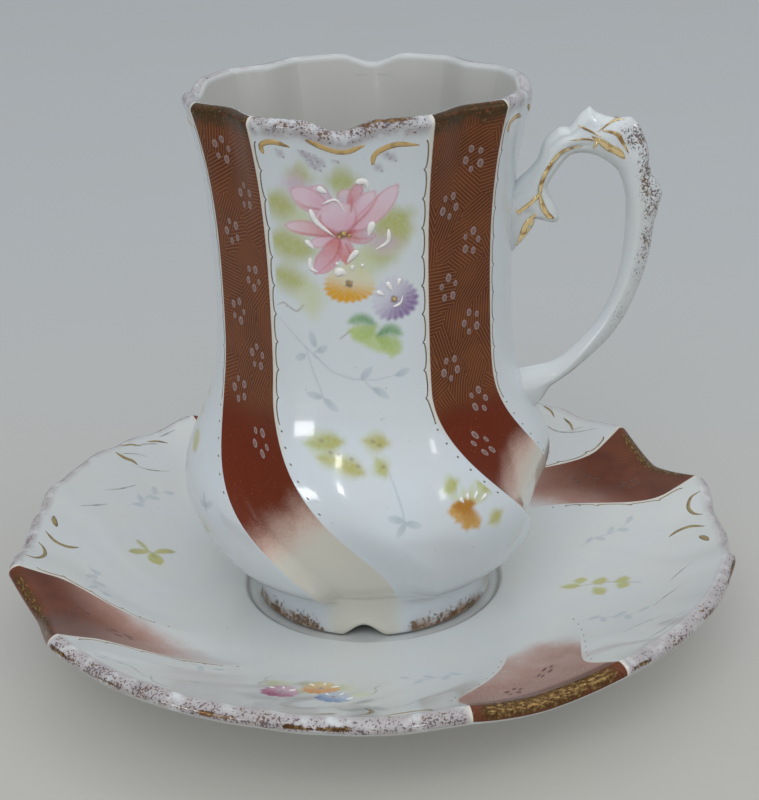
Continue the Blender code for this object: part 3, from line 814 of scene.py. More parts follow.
DISH_TOUCHES = [[(-6.3, -0.4), (-5.4, -0.2)], [(-4.6, 1.2), (-4.2, 0.0)], [(-2.3, 0.4), (-3.2, -0.5)],
                [(-1.4, 4.0), (-0.2, 3.2)], [(1.2, 5.2), (1.1, 3.9)], [(3.8, 4.0), (2.4, 3.1)],
                [(2.2, 0.2), (3.0, -0.8)], [(5.0, 0.8), (4.4, -0.6)],
                [(5.6, -2.6), (6.4, -1.6), (6.2, -0.6)]]
films = []
for angle, lean in ((FRONT_FLOWERS, 1), (REAR_FLOWERS, -1)):
    where = on_dish(angle, FLOWER_RADIUS)
    films += [bead(where, leaned(path, lean), 0.24, 0.14, 6) for path in DISH_TOUCHES]
saucer_enamel = skin("saucer_enamel", films, enamel)
fire_on(saucer_enamel, "saucer")

FAINT_TINTS = np.array([(0.10, 0.035, 0.022, 1.0), (0.18, 0.08, 0.06, 1.0), (0.10, 0.035, 0.022, 1.0)])


def dot_blossom(surface, middle, height, turn, spread):
    """Five pale rings round a place on a band, each a dot with a brown margin, of slightly unlike sizes."""
    at = np.radians(turn + 72.0 * np.arange(5))
    places = np.stack([middle + spread * np.cos(at), height + 1.1 * spread * np.sin(at)], axis=1)
    sizes = spread * (0.39 + 0.07 * np.cos(3.0 * at + height))
    return [spot(surface, place, size, 0.02, 1.2) for place, size in zip(places, sizes)]


def tinted_enamel(name):
    """Enamel dots on the bands, coloured ring by ring."""
    recipe = Recipe(name)
    tone = recipe.math("MULTIPLY_ADD", recipe.noise(0.8, 2.0), 0.5, 0.75)
    tint = recipe.mix(tone, (0.12, 0.05, 0.035), recipe.detail("tint").outputs["Color"])
    recipe.set(Base_Color=tint, Roughness=0.35, Specular_IOR_Level=0.3)
    return recipe.material


dots = []
for k in range(4):
    for across, inward, turn in ((-2.2, 9.4, 20.0), (2.4, 13.4, 50.0)):
        dots += dot_blossom(beside_dish_band(SECTOR * k + DISH_BAND_ANGLE / 2), across, inward, turn, 1.15)
tints = [np.repeat(FAINT_TINTS[:, None], DOT_SIDES, axis=1)] * len(dots)
dish_blossoms = skin("saucer_band_blossoms", dots, tinted_enamel("faint_enamel"), tint=tints)
fire_on(dish_blossoms, "saucer")

# Cup body
# A slip-cast cup: notched foot, round belly with four bands swirling up it, and a panelled neck under a
# wavy lip. The chestnut ground is dusted on the bands and fades to ivory above the foot.
cup_low, cup_high = (np.array(corner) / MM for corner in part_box("cup_body"))
CUP_BASE = cup_low[2]
CUP_HEIGHT = cup_high[2] - cup_low[2]
FOOT_RADIUS = 20.2
FOOT_HEIGHT = 6.1
FOOT_WALL = 3.0
FOOT_RECESS = 3.4
NOTCH_HEIGHT = 2.0
NOTCH_HALF_ANGLE = 11.0
BELLY_RADIUS = 30.7
BELLY_HEIGHT = 22.2
SHOULDER_SPAN = 13.0
WAIST_RADIUS = 23.6
WAIST_HEIGHT = 55.5
RIM_RADIUS = 27.0
RIM_DIP = 1.5
RIM_DIP_HALF_ANGLE = 13.0
RIM_HOLLOW = 1.2
CUP_WALL = 2.4
CUP_FLOOR = 3.6
LIP_DROP = 1.1
BAND_HALF_ANGLE = 15.0
BAND_STEP = 2.4
BAND_STEP_ANGLE = 2.5
BAND_EASE_ANGLE = 6.0
BAND_RUN_OUT_ANGLE = 18.0
CUP_SWIRL = 46.0
SWIRL_TOP = 43.2
SWIRL_BOTTOM = 5.2


def cup_swirl(height):
    """How far a column has turned at a height: straight down the neck, then easing round the belly."""
    return CUP_SWIRL * ease((SWIRL_TOP - height) / (SWIRL_TOP - SWIRL_BOTTOM))


def panel_radius(height):
    """The profile on the panels: a rounded belly, a bell curve into the waist, a power curve to the rim."""
    up = np.clip((height - FOOT_HEIGHT) / (BELLY_HEIGHT - FOOT_HEIGHT), 0.0, 1.0)
    belly = FOOT_RADIUS + (BELLY_RADIUS - FOOT_RADIUS) * (1.0 - (1.0 - up) ** 1.75) ** 0.66
    flare = np.clip((height - WAIST_HEIGHT) / (CUP_HEIGHT - WAIST_HEIGHT), 0.0, None)
    neck = WAIST_RADIUS + (RIM_RADIUS - WAIST_RADIUS) * flare**2.65
    bell = np.exp(-(((height - BELLY_HEIGHT) / SHOULDER_SPAN) ** 2))
    return np.where(height < BELLY_HEIGHT, belly, neck + (BELLY_RADIUS - neck) * bell)


def from_band(column):
    """Angle from the nearest band's middle; the bands stand half-way between the panels."""
    return column % SECTOR - SECTOR / 2


def cup_radius(column, height):
    """The panels' profile less the bands' hollows: flat chords on the neck, stepped in on the belly."""
    radius = panel_radius(height)
    angle = from_band(column)
    inside = np.radians(np.clip(angle, -BAND_HALF_ANGLE, BAND_HALF_ANGLE))
    flat = radius * (1.0 - np.cos(np.radians(BAND_HALF_ANGLE)) / np.cos(inside))
    hollow = RIM_HOLLOW * bump(angle / BAND_HALF_ANGLE) * ease(4.0 * height / CUP_HEIGHT - 3.0)
    before = 1.0 - (1.0 - np.clip((angle + BAND_HALF_ANGLE) / BAND_EASE_ANGLE, 0.0, 1.0)) ** 2
    after = 1.0 - ease((angle % SECTOR - BAND_HALF_ANGLE) / BAND_RUN_OUT_ANGLE)
    deep = BAND_STEP * ease((1.55 * BELLY_HEIGHT - height) / BELLY_HEIGHT)
    deep = np.minimum(deep, 0.9 * (radius - FOOT_RADIUS)) * np.where(angle < 0.0, before, after)
    return radius - flat * ease((height - FOOT_HEIGHT) / BELLY_HEIGHT) - hollow - deep


def rim_fall(column, height):
    """The wavy rim: a dip in the middle of each panel, which dies away down the neck."""
    middle = (column + SECTOR / 2) % SECTOR - SECTOR / 2
    near_rim = ease((height - WAIST_HEIGHT) / (CUP_HEIGHT - WAIST_HEIGHT))
    return RIM_DIP * bump(middle / RIM_DIP_HALF_ANGLE) * near_rim


def cup_row(column, height, inset=0.0):
    angle = column + cup_swirl(height)
    return ring(cup_radius(column, height) - inset, angle, CUP_BASE + height - rim_fall(column, height))


def cup_columns():
    """Angles with extra columns on each band's step, so that its edge stays crisp."""
    step = np.linspace(0.0, BAND_STEP_ANGLE, 7)[:-1]
    band = np.linspace(BAND_STEP_ANGLE, 2 * BAND_HALF_ANGLE, 29)[:-1]
    panel = np.linspace(2 * BAND_HALF_ANGLE, SECTOR, 67)[:-1]
    one = np.concatenate([step, band, panel]) + SECTOR / 2 - BAND_HALF_ANGLE
    return np.concatenate([one + SECTOR * k for k in range(4)])


BASE_ROWS = 5
WALL_ROWS = 168
RIM_ROWS = 8
GILT_RIM_ROWS = 6
INSIDE_ROWS = 34
BOWL_ROWS = 14
columns = cup_columns()
foot_turn = columns + CUP_SWIRL
arch = NOTCH_HEIGHT * bump(from_band(columns) / NOTCH_HALF_ANGLE) ** 0.8
inner_foot = FOOT_RADIUS - FOOT_WALL
foot_profile = [(4.0, FOOT_RECESS, 0), (inner_foot - 0.6, FOOT_RECESS, 0),
                (inner_foot, FOOT_RECESS - 0.5, 0), (inner_foot + 0.25, 0.4, 1), (inner_foot + 0.6, 0.0, 1),
                (FOOT_RADIUS - 1.2, 0.0, 1), (FOOT_RADIUS - 0.55, 0.12, 1), (FOOT_RADIUS - 0.22, 0.45, 1),
                (FOOT_RADIUS - 0.25, 1.0, 0.9), (FOOT_RADIUS - 0.4, 2.2, 0.6),
                (FOOT_RADIUS - 0.45, 3.6, 0.2), (FOOT_RADIUS - 0.3, 5.0, 0)]
rows = [ring(radius, foot_turn, CUP_BASE + height + share * arch) for radius, height, share in foot_profile]
lip_top = CUP_HEIGHT - LIP_DROP
outside = FOOT_HEIGHT + (lip_top - FOOT_HEIGHT) * np.linspace(0.0, 1.0, WALL_ROWS) ** 1.06
rows += [cup_row(columns, height) for height in outside]
for turned in np.radians(np.linspace(20.0, 160.0, RIM_ROWS)):
    inset = CUP_WALL / 2 * (1.0 - np.cos(turned))
    rows.append(cup_row(columns, lip_top, inset) + [0.0, 0.0, LIP_DROP * np.sin(turned)])
inside_floor = FOOT_RECESS + CUP_FLOOR
inside_low = FOOT_HEIGHT + 0.8 * (BELLY_HEIGHT - FOOT_HEIGHT)
for height in np.linspace(lip_top, inside_low, INSIDE_ROWS):
    around = np.mean([cup_radius(columns + aside, height) for aside in np.linspace(-9.0, 9.0, 7)], axis=0)
    slip_filled = (cup_radius(columns, height) - around) * ease((40.0 - height) / 8.0)
    rows.append(cup_row(columns, height, CUP_WALL + slip_filled))
lowest = rows[-1]
reach = np.hypot(lowest[:, 0], lowest[:, 1])[:, None]
for turned in np.radians(np.linspace(8.0, 82.0, BOWL_ROWS)):
    bowl = lowest * [np.cos(turned), np.cos(turned), 1.0]
    bowl[:, :2] *= 1.0 + (reach.min() / reach - 1.0) * np.sin(turned)
    bowl[:, 2] += (CUP_BASE + inside_floor - lowest[:, 2]) * np.sin(turned)
    rows.append(bowl)
wall = np.stack(rows)
lip_start = len(foot_profile) + WALL_ROWS
row_height = np.concatenate([[height for _, height, _ in foot_profile], outside,
                             np.full(len(rows) - lip_start, CUP_HEIGHT)])
row = np.arange(len(rows))[:, None]
up_lip = row - lip_start
is_lip = (up_lip >= 0) & (up_lip < GILT_RIM_ROWS)
is_outside = up_lip < RIM_ROWS // 2
on_base = row < BASE_ROWS
angle = np.broadcast_to(from_band(columns)[None, :], wall.shape[:2])
wall_radius = panel_radius(row_height)[:, None]
across = np.radians(angle) * wall_radius
edge = np.radians(BAND_HALF_ANGLE + 0.3 - np.abs(angle)) * wall_radius
edge = np.where(is_outside & ~on_base, edge, -5.0)
along = np.broadcast_to(row_height[:, None], across.shape)
band_number = np.floor((columns - SECTOR / 2 + BAND_HALF_ANGLE) / SECTOR)
EARLY_FADED_BAND = 3
early_fade = 5.0 * (band_number == EARLY_FADED_BAND) * bump((along - 28.0) / 15.0)
place = np.stack([across, along - early_fade, edge], axis=-1)
from_rim = CUP_HEIGHT - along
on_panel = ease((-edge - 0.1) / 0.8)
rim_dabs = np.where(is_outside | is_lip, 1.0 - ease((from_rim - 0.6) / 3.2), 0.0)
facing_front = 0.55 + 0.30 * np.cos(np.radians(columns - 262.0))
foot_rub = (1.0 - ease((along - 0.3) / 3.9)) * ease((np.abs(angle) - 16.0) / 9.0)
foot_rub = np.where(is_outside & ~on_base, foot_rub, 0.0)
sponge = np.maximum(rim_dabs * on_panel * facing_front, 0.5 * foot_rub)[..., None]
# Gold along the lip's crest on the front panel, right of middle: real gilding, with its gilt raised past 1
# so that the leaf takes its bright tone as a painted glint.
crest_gilt_and_glint = 1.1 * bump((up_lip - 2.2) / 2.6) * on_panel * bump((columns - 284.0) / 17.0)
gilt = np.maximum(0.6 * foot_rub, crest_gilt_and_glint)[..., None]
# How far down the inside each point lies, which sets how much painted shade greys it there.
inside_share = np.broadcast_to(up_lip[..., None] / 9.0, gilt.shape)
bare = np.broadcast_to(np.where(row_height < 0.05, 1.0, 0.0)[:, None, None], gilt.shape)

CUP_WHITES = (0.69, 0.74, 0.765), (0.685, 0.75, 0.79)
INSIDE_SHADE_GREY = (0.535, 0.53, 0.50)
HATCH_GOLD = (0.30, 0.135, 0.045)
RUSSET = (0.142, 0.021, 0.005)
RUSSET_FLECK = (0.32, 0.12, 0.055)
IVORY = (0.68, 0.66, 0.57)
BLUSH = (0.67, 0.47, 0.39)
LIP_LEAF = (0.080, 0.050, 0.024), (0.60, 0.42, 0.18)
FOOT_LEAF = (0.66, 0.42, 0.19), (0.17, 0.09, 0.04)
FOOT_SMEAR = (0.20, 0.10, 0.045), (0.40, 0.26, 0.15)


def cup_glaze():
    """White glaze, a greyer inside painted as shade, sponged gold, and hatched bands that fade through rose
    to ivory.
    """
    recipe = Recipe("cup_glaze")
    colour = white_glaze(recipe, *CUP_WHITES)
    deep = recipe.rise(recipe.detail("inside").outputs["Fac"], 0.2, 1.0)
    # Painted shade: the inside turns grey the deeper it goes, standing in for the shade inside the cup.
    colour = recipe.mix(deep, colour, INSIDE_SHADE_GREY)
    across, along, edge = recipe.split(recipe.detail("place").outputs["Vector"])
    cloud = recipe.noise(5.0, 3.0)
    brown = recipe.mix(recipe.rise(cloud, 0.3, 0.7), CHESTNUT, CHESTNUT_DEEP)
    lines = hatched(recipe, across, along, brown, HATCH_GOLD, 0.75)
    brown = recipe.mix(recipe.rise(along, 36.0, 41.0), brown, lines)
    flecks = recipe.math("MULTIPLY", recipe.rise(recipe.noise(0.35, 2.0), 0.62, 0.76), 0.45)
    russet = recipe.mix(flecks, RUSSET, RUSSET_FLECK)
    brown = recipe.mix(recipe.rise(along, 43.0, 34.0), brown, russet)
    low = recipe.math("MULTIPLY_ADD", across, -0.42, dusted(recipe, along, cloud, 0.28, 1.8))
    faded = recipe.mix(recipe.rise(low, 18.8, 23.8), IVORY, BLUSH)
    ground = recipe.mix(recipe.rise(low, 21.0, 27.0), faded, brown)
    on_foot = recipe.rise(along, 8.5, 6.0)
    soft_edge = recipe.math("MULTIPLY", on_foot, -2.5), recipe.math("MULTIPLY_ADD", on_foot, 1.6, 0.14)
    cover = recipe.rise(edge, *soft_edge)
    colour = margined(recipe, colour, edge, recipe.rise(along, 30.0, 40.0))
    colour = recipe.mix(cover, colour, ground)
    mottle = recipe.noise(0.6, 3.0, 0.65)
    top = recipe.math("MULTIPLY_ADD", recipe.noise(1.6, 2.0), 4.0, -2.0)
    top = recipe.rise(recipe.math("ADD", along, top), CUP_HEIGHT - 3.6, CUP_HEIGHT - 1.2)
    gilding = recipe.math("MULTIPLY", recipe.math("MULTIPLY", cover, top), recipe.rise(mottle, 0.36, 0.48))
    leaf = recipe.mix(recipe.rise(recipe.noise(0.5, 3.0, 0.65), 0.60, 0.78), *LIP_LEAF)
    colour = recipe.mix(gilding, colour, leaf)
    sponge, gilt = recipe.detail("sponge").outputs["Fac"], recipe.detail("gilt").outputs["Fac"]
    colour, rubbed = sponged(recipe, colour, sponge, gilt, grain=0.8, haze=0.8, leaf=FOOT_LEAF)
    uneven = recipe.math("MULTIPLY_ADD", recipe.noise(1.6, 3.0), 1.2, -0.6)
    smear = recipe.rise(recipe.math("MULTIPLY_ADD", gilt, 1.8, uneven), 0.45, 1.1)
    smear = recipe.math("MULTIPLY", smear, recipe.rise(along, 9.0, 6.0))
    stain = recipe.mix(recipe.noise(0.5, 3.0), *FOOT_SMEAR)
    colour = recipe.mix(recipe.math("MULTIPLY", smear, 0.85), colour, stain)
    metal = recipe.math("MAXIMUM", recipe.math("MULTIPLY", gilding, 0.6), rubbed)
    painted = recipe.math("MULTIPLY", cover, recipe.rise(low, 18.0, 28.0))
    satin = recipe.math("MAXIMUM", metal, painted)
    satin = recipe.math("MAXIMUM", satin, recipe.math("MULTIPLY", deep, 0.9))
    fired(recipe, colour, metal, satin, painted, 0.20, 0.12)
    rubbing = recipe.math("MULTIPLY", metal, mottle)
    recipe.relief(recipe.math("MULTIPLY_ADD", rubbing, 2.0, recipe.noise(6.0, 2.0)), 0.25, 0.06)
    return recipe.material


details = {"place": [place], "sponge": [sponge], "gilt": [gilt], "inside": [inside_share], "bare": [bare]}
cup_body = skin("cup_body", [wall], cup_glaze(), **details)
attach(cup_body, "cup")
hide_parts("cup_body")

# Cup painting
# The same enamels on the cup: one large pink blossom over two daisies on the front and back panels, with
# leaves and a blue-grey vine below, scalloped gold lines beside the bands and dotted blossoms on them.


def on_cup(facing, swirled=False):
    """A surface for films on the cup: u runs round it in millimetres from an angle, v is the height.

    When swirled, the place turns with the bands; otherwise it stays above the same point of the foot.
    """

    def surface(u, v, lift):
        column = facing + np.degrees(u / panel_radius(v)) - (0.0 if swirled else cup_swirl(v))
        radius = cup_radius(column, np.minimum(v + rim_fall(column, v), CUP_HEIGHT))
        return ring(radius + lift, column + cup_swirl(v), CUP_BASE + v)

    return surface


SHEET_HALF_WIDTH = 12.0
SHEET_LOW = 14.0
SHEET_HIGH = 82.4


def cup_sheet(facing, pitch):
    """A painted sheet down the length of one panel, with a canvas in the same places as the films."""

    def surface(u, v, lift):
        column = facing + np.degrees(u / WAIST_RADIUS)
        height = CUP_BASE + v - rim_fall(column, v)
        return ring(cup_radius(column, v) + lift, column + cup_swirl(v), height)

    sheet, u, v = patch(surface, (-SHEET_HALF_WIDTH, SHEET_HALF_WIDTH), (SHEET_LOW, SHEET_HIGH), pitch)
    x = (u / WAIST_RADIUS + np.radians(cup_swirl(v))) * panel_radius(v)
    return sheet, Canvas(x, v - rim_fall(facing + np.degrees(u / WAIST_RADIUS), v))


PINK = pigment(198, 150, 168)
PALE_PINK = pigment(206, 180, 192)
ROSE_RED = pigment(188, 104, 104)
DEEP_ROSE = pigment(150, 66, 52)
PALE_MAUVE = pigment(182, 164, 178)
DUN_LEAF = pigment(158, 161, 92)
PETAL_LINE = pigment(178, 112, 124)
DAB_MAUVE = pigment(142, 130, 146)
DAB_EDGE = pigment(84, 74, 84)
SPRING = pigment(162, 180, 112)
SHADED_SPRING = pigment(146, 168, 100)
FERN = pigment(84, 130, 82)
PALE_FERN = pigment(112, 148, 100)
PALE_BLUE = pigment(170, 181, 186)
SEPAL = pigment(178, 170, 96)
STAMEN = pigment(120, 92, 52)
AMBER = pigment(160, 108, 30)
PALE_AMBER = pigment(182, 140, 66)
WASHES = [((-11.2, 73.6), (-6.8, 71.4), 1.6, DUN_LEAF), ((-7.1, 77.6), (-4.6, 77.1), 1.3, LEAF),
          ((-1.4, 76.7), (2.0, 76.6), 1.5, LEAF), ((4.8, 68.6), (9.4, 71.2), 1.9, DUN_LEAF),
          ((-11.2, 67.4), (-4.6, 65.8), 1.7, DUN_LEAF), ((-11.0, 62.2), (-5.6, 60.4), 1.4, DUN_LEAF),
          ((5.0, 66.8), (9.4, 68.8), 1.4, LEAF),
          ((-5.6, 61.0), (-5.0, 56.2), 1.5, PALE_LEAF), ((2.2, 65.4), (6.8, 64.8), 1.2, LEAF),
          ((-7.4, 71.2), (-4.6, 70.2), 1.2, PALE_LEAF), ((-8.0, 76.2), (-5.0, 75.8), 1.3, PALE_MAUVE),
          ((4.0, 67.2), (7.6, 67.0), 1.1, PALE_MAUVE), ((1.0, 66.0), (3.8, 62.4), 1.6, PALE_LEAF)]
PETALS = [([(-1.7, 73.1), (-3.2, 74.6), (-4.2, 75.6)], 1.5, PALE_MAUVE, PALE_PINK),
          ([(-0.2, 73.0), (0.4, 74.2), (0.8, 75.4)], 1.1, PALE_MAUVE, PALE_PINK),
          ([(1.2, 72.3), (1.8, 74.3), (2.8, 76.4)], 0.9, ROSE_RED, PINK),
          ([(0.6, 69.8), (2.5, 72.3), (4.6, 74.9)], 1.4, PINK, PALE_PINK),
          ([(0.7, 69.2), (4.5, 71.8), (7.9, 75.6)], 1.45, PINK, PALE_PINK),
          ([(-2.2, 72.5), (-4.3, 73.5), (-7.2, 75.1)], 1.75, PINK, PALE_PINK),
          ([(-1.1, 68.7), (-4.6, 69.4), (-8.6, 69.6)], 1.1, ROSE_RED, PALE_PINK),
          ([(-1.2, 68.3), (-3.2, 67.5), (-4.8, 67.2)], 0.9, PINK, PALE_PINK),
          ([(0.2, 68.6), (2.2, 68.3), (4.4, 68.4)], 1.1, ROSE_RED, PALE_MAUVE),
          ([(-0.4, 68.1), (0.3, 66.3), (0.2, 64.3)], 1.1, PINK, ROSE_RED),
          ([(-0.8, 68.1), (-2.1, 65.4), (-4.3, 62.8)], 1.5, ROSE_RED, PINK),
          ([(-0.6, 68.9), (-0.9, 71.2), (-1.4, 73.4)], 3.0, PINK, PALE_PINK)]
MAUVE_DABS = [(-5.6, 81.9), (-5.2, 80.9), (-4.6, 80.4), (-4.0, 79.2), (-3.2, 78.9), (-3.6, 80.2),
              (-2.6, 79.6), (-8.6, 80.6), (-0.6, 80.2), (6.6, 80.4), (7.4, 80.0), (5.4, 78.6)]
VEINS = [[(1.4, 69.9), (3.6, 72.0), (5.4, 74.6)], [(-1.4, 68.4), (-5.0, 68.5), (-7.8, 68.9)],
         [(-0.5, 67.6), (-1.4, 65.2), (-3.8, 62.8)], [(0.2, 67.4), (0.9, 65.6), (0.7, 64.4)],
         [(1.2, 72.0), (1.4, 73.2), (1.5, 74.4)], [(-3.2, 71.6), (-3.2, 70.6), (-1.6, 68.9)],
         [(0.6, 69.0), (1.8, 70.2), (2.0, 71.6)], [(-3.0, 72.4), (-5.4, 72.7), (-6.6, 73.6)],
         [(0.4, 68.7), (2.2, 68.0), (4.0, 68.0)]]
THROAT = [(-2.6, 69.4), (-0.6, 68.5), (1.5, 69.2)]
LEAVES = [([(0.8, 53.8), (3.6, 52.4), (6.6, 50.6)], 1.3, SPRING, SPRING),
          ([(4.2, 54.5), (2.1, 53.6), (0.4, 53.9)], 1.3, SHADED_SPRING, SPRING),
          ([(3.9, 55.0), (2.2, 55.8), (0.3, 55.3)], 0.75, FERN, PALE_FERN),
          ([(4.6, 52.6), (6.6, 51.4), (6.4, 49.7)], 1.3, SHADED_SPRING, SPRING),
          ([(4.4, 53.1), (6.2, 53.9), (7.9, 53.0)], 0.8, FERN, PALE_FERN)]
VINES = [[(-11.0, 55.4), (-8.8, 53.3), (-6.5, 51.0), (-4.3, 49.2), (-2.4, 47.4), (2.3, 46.1), (7.4, 46.8)],
         [(-6.5, 51.0), (-5.5, 47.5), (-3.8, 43.0)], [(5.7, 32.9), (6.9, 30.1), (7.9, 27.3), (8.3, 25.3)],
         [(-4.2, 51.2), (-5.2, 50.0), (-4.3, 49.2)], [(2.3, 46.1), (3.4, 44.8), (4.7, 43.8)]]
VINE_LEAVES = [((-5.0, 51.2), (-5.6, 53.6)), ((-4.6, 50.4), (-3.2, 51.4)), ((-6.6, 49.8), (-8.2, 49.0)),
               ((1.8, 46.4), (3.4, 48.2)), ((3.6, 45.0), (5.8, 43.2)), ((-3.9, 43.2), (-1.8, 41.4)),
               ((-4.2, 43.4), (-6.6, 43.8)), ((7.0, 46.6), (9.0, 47.4)), ((8.3, 25.3), (7.2, 23.4)),
               ((8.2, 25.6), (5.8, 26.4)), ((8.4, 25.4), (10.8, 24.6))]
BELLY_LEAVES = [((-6.9, 36.4), (-1.3, 37.0), 1.4, LEAF), ((-5.0, 34.6), (-1.8, 34.3), 0.9, MOSS),
                ((-3.0, 34.6), (1.9, 32.7), 1.15, MOSS), ((2.0, 37.2), (5.5, 36.6), 1.2, MOSS),
                ((3.9, 34.6), (5.3, 32.3), 1.0, LEAF), ((22.6, 22.4), (25.0, 23.4), 1.2, MOSS),
                ((14.6, 29.0), (16.6, 29.8), 1.3, LEAF), ((20.4, 29.0), (23.0, 27.4), 1.1, LEAF)]
LEAF_SPECKS = [(-3.0, 35.4), (-1.8, 35.1), (0.2, 34.6), (1.2, 33.6), (3.4, 37.0), (4.4, 36.4), (5.0, 33.4),
               (-4.4, 37.0)]
SEPALS = [(16.0, 27.8), (17.6, 28.8), (19.6, 29.0), (21.4, 28.2), (22.4, 26.8)]
HALF_DAISY = [(15.4, 26.0), (16.6, 24.3), (18.4, 22.6), (20.4, 22.4)]
TENDRIL = [(-11.0, 57.0), (-9.8, 57.6), (-8.8, 57.0), (-7.6, 56.5), (-6.5, 57.6)]


def leaf(canvas, start, end, width, colour):
    """A wispy leaf on the belly: a pale wash with a darker stroke through it."""
    canvas.stroke([start, end], 1.25 * width, PALE_LEAF, colour, strength=0.75, soft=1.0, widest=0.4)
    canvas.stroke([start, end], 0.7 * width, colour, MOSS, strength=0.75, soft=0.6, point=0.9)


def speckle(canvas):
    """Small brown touches of shade on the belly leaves."""
    for x, y in LEAF_SPECKS:
        canvas.stroke([(x - 0.3, y + 0.1), (x + 0.3, y - 0.1)], 0.22, TWIG, strength=0.6, soft=0.25)


def vine(canvas, stems, leaves):
    """Thin blue-grey stems, then small leaves that pale towards their tips."""
    for path in stems:
        canvas.stroke(path, 0.12, BLUE_GREY, strength=0.6, soft=0.2)
    for path in leaves:
        canvas.stroke(path, 0.55, BLUE_GREY, PALE_BLUE, strength=0.7, soft=0.22, widest=0.5)


def half_daisy(canvas):
    """An amber flower seen from its side on the belly, with pale sepals above and blunt petals below."""
    for end in SEPALS:
        canvas.stroke([(18.6, 26.2), end], 0.55, SEPAL, PALE_LEAF, strength=0.7, soft=0.5, widest=0.7)
    for end in HALF_DAISY:
        canvas.stroke([(18.6, 26.0), end], 1.0, AMBER, PALE_AMBER, strength=0.95, soft=0.6, widest=0.8)
    canvas.stroke([(16.2, 26.6), (19.8, 26.2)], 0.8, AMBER, strength=1.0, soft=0.4, widest=0.4)


def spray(canvas):
    """Soft leaf washes first, then the blossom's petals from back to front, the daisies and the vine."""
    for start, end, width, colour in WASHES:
        canvas.stroke([start, end], 1.35 * width, colour, colour, strength=0.88, soft=1.8, widest=0.4)
    for x, y in MAUVE_DABS:
        canvas.stroke([(x - 0.5, y + 0.2), (x + 0.4, y - 0.2)], 0.5, DAB_MAUVE, strength=0.55, soft=0.6)
        canvas.stroke([(x + 0.3, y - 0.5), (x + 0.6, y - 0.7)], 0.14, DAB_EDGE, strength=0.7, soft=0.15)
        canvas.stroke([(x - 0.7, y + 0.6), (x - 0.5, y + 0.5)], 0.12, DAB_EDGE, strength=0.6, soft=0.15)
    for path, width, colour, tip in PETALS:
        canvas.stroke(path, width, colour, tip, strength=0.84, soft=0.3, outline=PETAL_LINE)
    for path in VEINS:
        canvas.stroke(path, 0.16, DEEP_ROSE, ROSE_RED, strength=0.55, soft=0.2, widest=0.3)
    canvas.stroke(THROAT, 0.5, DEEP_ROSE, strength=0.7, soft=0.5, widest=0.5)
    canvas.stroke([(-0.9, 68.6), (0.6, 68.7)], 0.5, STAMEN, strength=0.9, soft=0.25, widest=0.5)
    canvas.daisy((0.5, 61.1), (3.8, 3.0), 22, pigment(196, 142, 6), pigment(200, 190, 140), 75, 1.1)
    canvas.daisy((7.1, 58.5), (3.5, 3.4), 20, pigment(112, 84, 134), pigment(178, 166, 188), 135)
    for x, y in ((0.5, 61.1), (7.0, 58.4)):
        canvas.stroke([(x - 0.4, y - 0.2), (x + 0.4, y + 0.3)], 0.62, HEART, soft=0.25, widest=0.5)
    for path, width, colour, tip in LEAVES:
        canvas.stroke(path, width, colour, tip, strength=0.85, soft=0.6)
    canvas.stroke([(0.4, 53.9), (-1.2, 52.6)], 0.1, TWIG, strength=0.6, soft=0.18)
    canvas.stroke(TENDRIL, 0.1, TWIG, soft=0.18)
    vine(canvas, VINES, VINE_LEAVES)
    for start, end, width, colour in BELLY_LEAVES:
        leaf(canvas, start, end, width, colour)
    half_daisy(canvas)
    speckle(canvas)


LOW_LEAVES = [((20.2, 22.6), (18.2, 22.8)), ((20.2, 22.6), (22.5, 24.0))]
SIDE_LEAVES = VINE_LEAVES[5:7] + VINE_LEAVES[8:] + LOW_LEAVES


def side_sprigs(canvas):
    """The plainer side panels: loose leaves on the belly and a short vine above them."""
    for start, end, width, colour in BELLY_LEAVES[:5]:
        leaf(canvas, start, end, width, colour)
    vine(canvas, VINES[1:3], SIDE_LEAVES)
    canvas.stroke([(19.4, 24.7), (20.0, 23.2), (20.6, 21.7)], 0.4, BLUE_GREY, strength=0.7, soft=0.2)
    canvas.stroke([(6.7, 30.3), (9.2, 29.9), (11.6, 28.8)], 1.3, LEAF, MOSS, strength=0.85, soft=0.5)
    speckle(canvas)


FRONT, BACK, LEFT = 270.0, 90.0, 180.0
PAINTED_PANELS = [("cup_spray_front", FRONT, 0.17, spray), ("cup_spray_back", BACK, 0.25, spray),
                  ("cup_sprigs_left", LEFT, 0.3, side_sprigs)]
cup_paint = painted_glaze("cup_painting", *CUP_WHITES)
for name, facing, pitch, painter in PAINTED_PANELS:
    sheet, canvas = cup_sheet(facing, pitch)
    painter(canvas)
    piece = skin(name, [sheet], cup_paint, paint=[canvas.paint()])
    fire_on(piece, "cup")

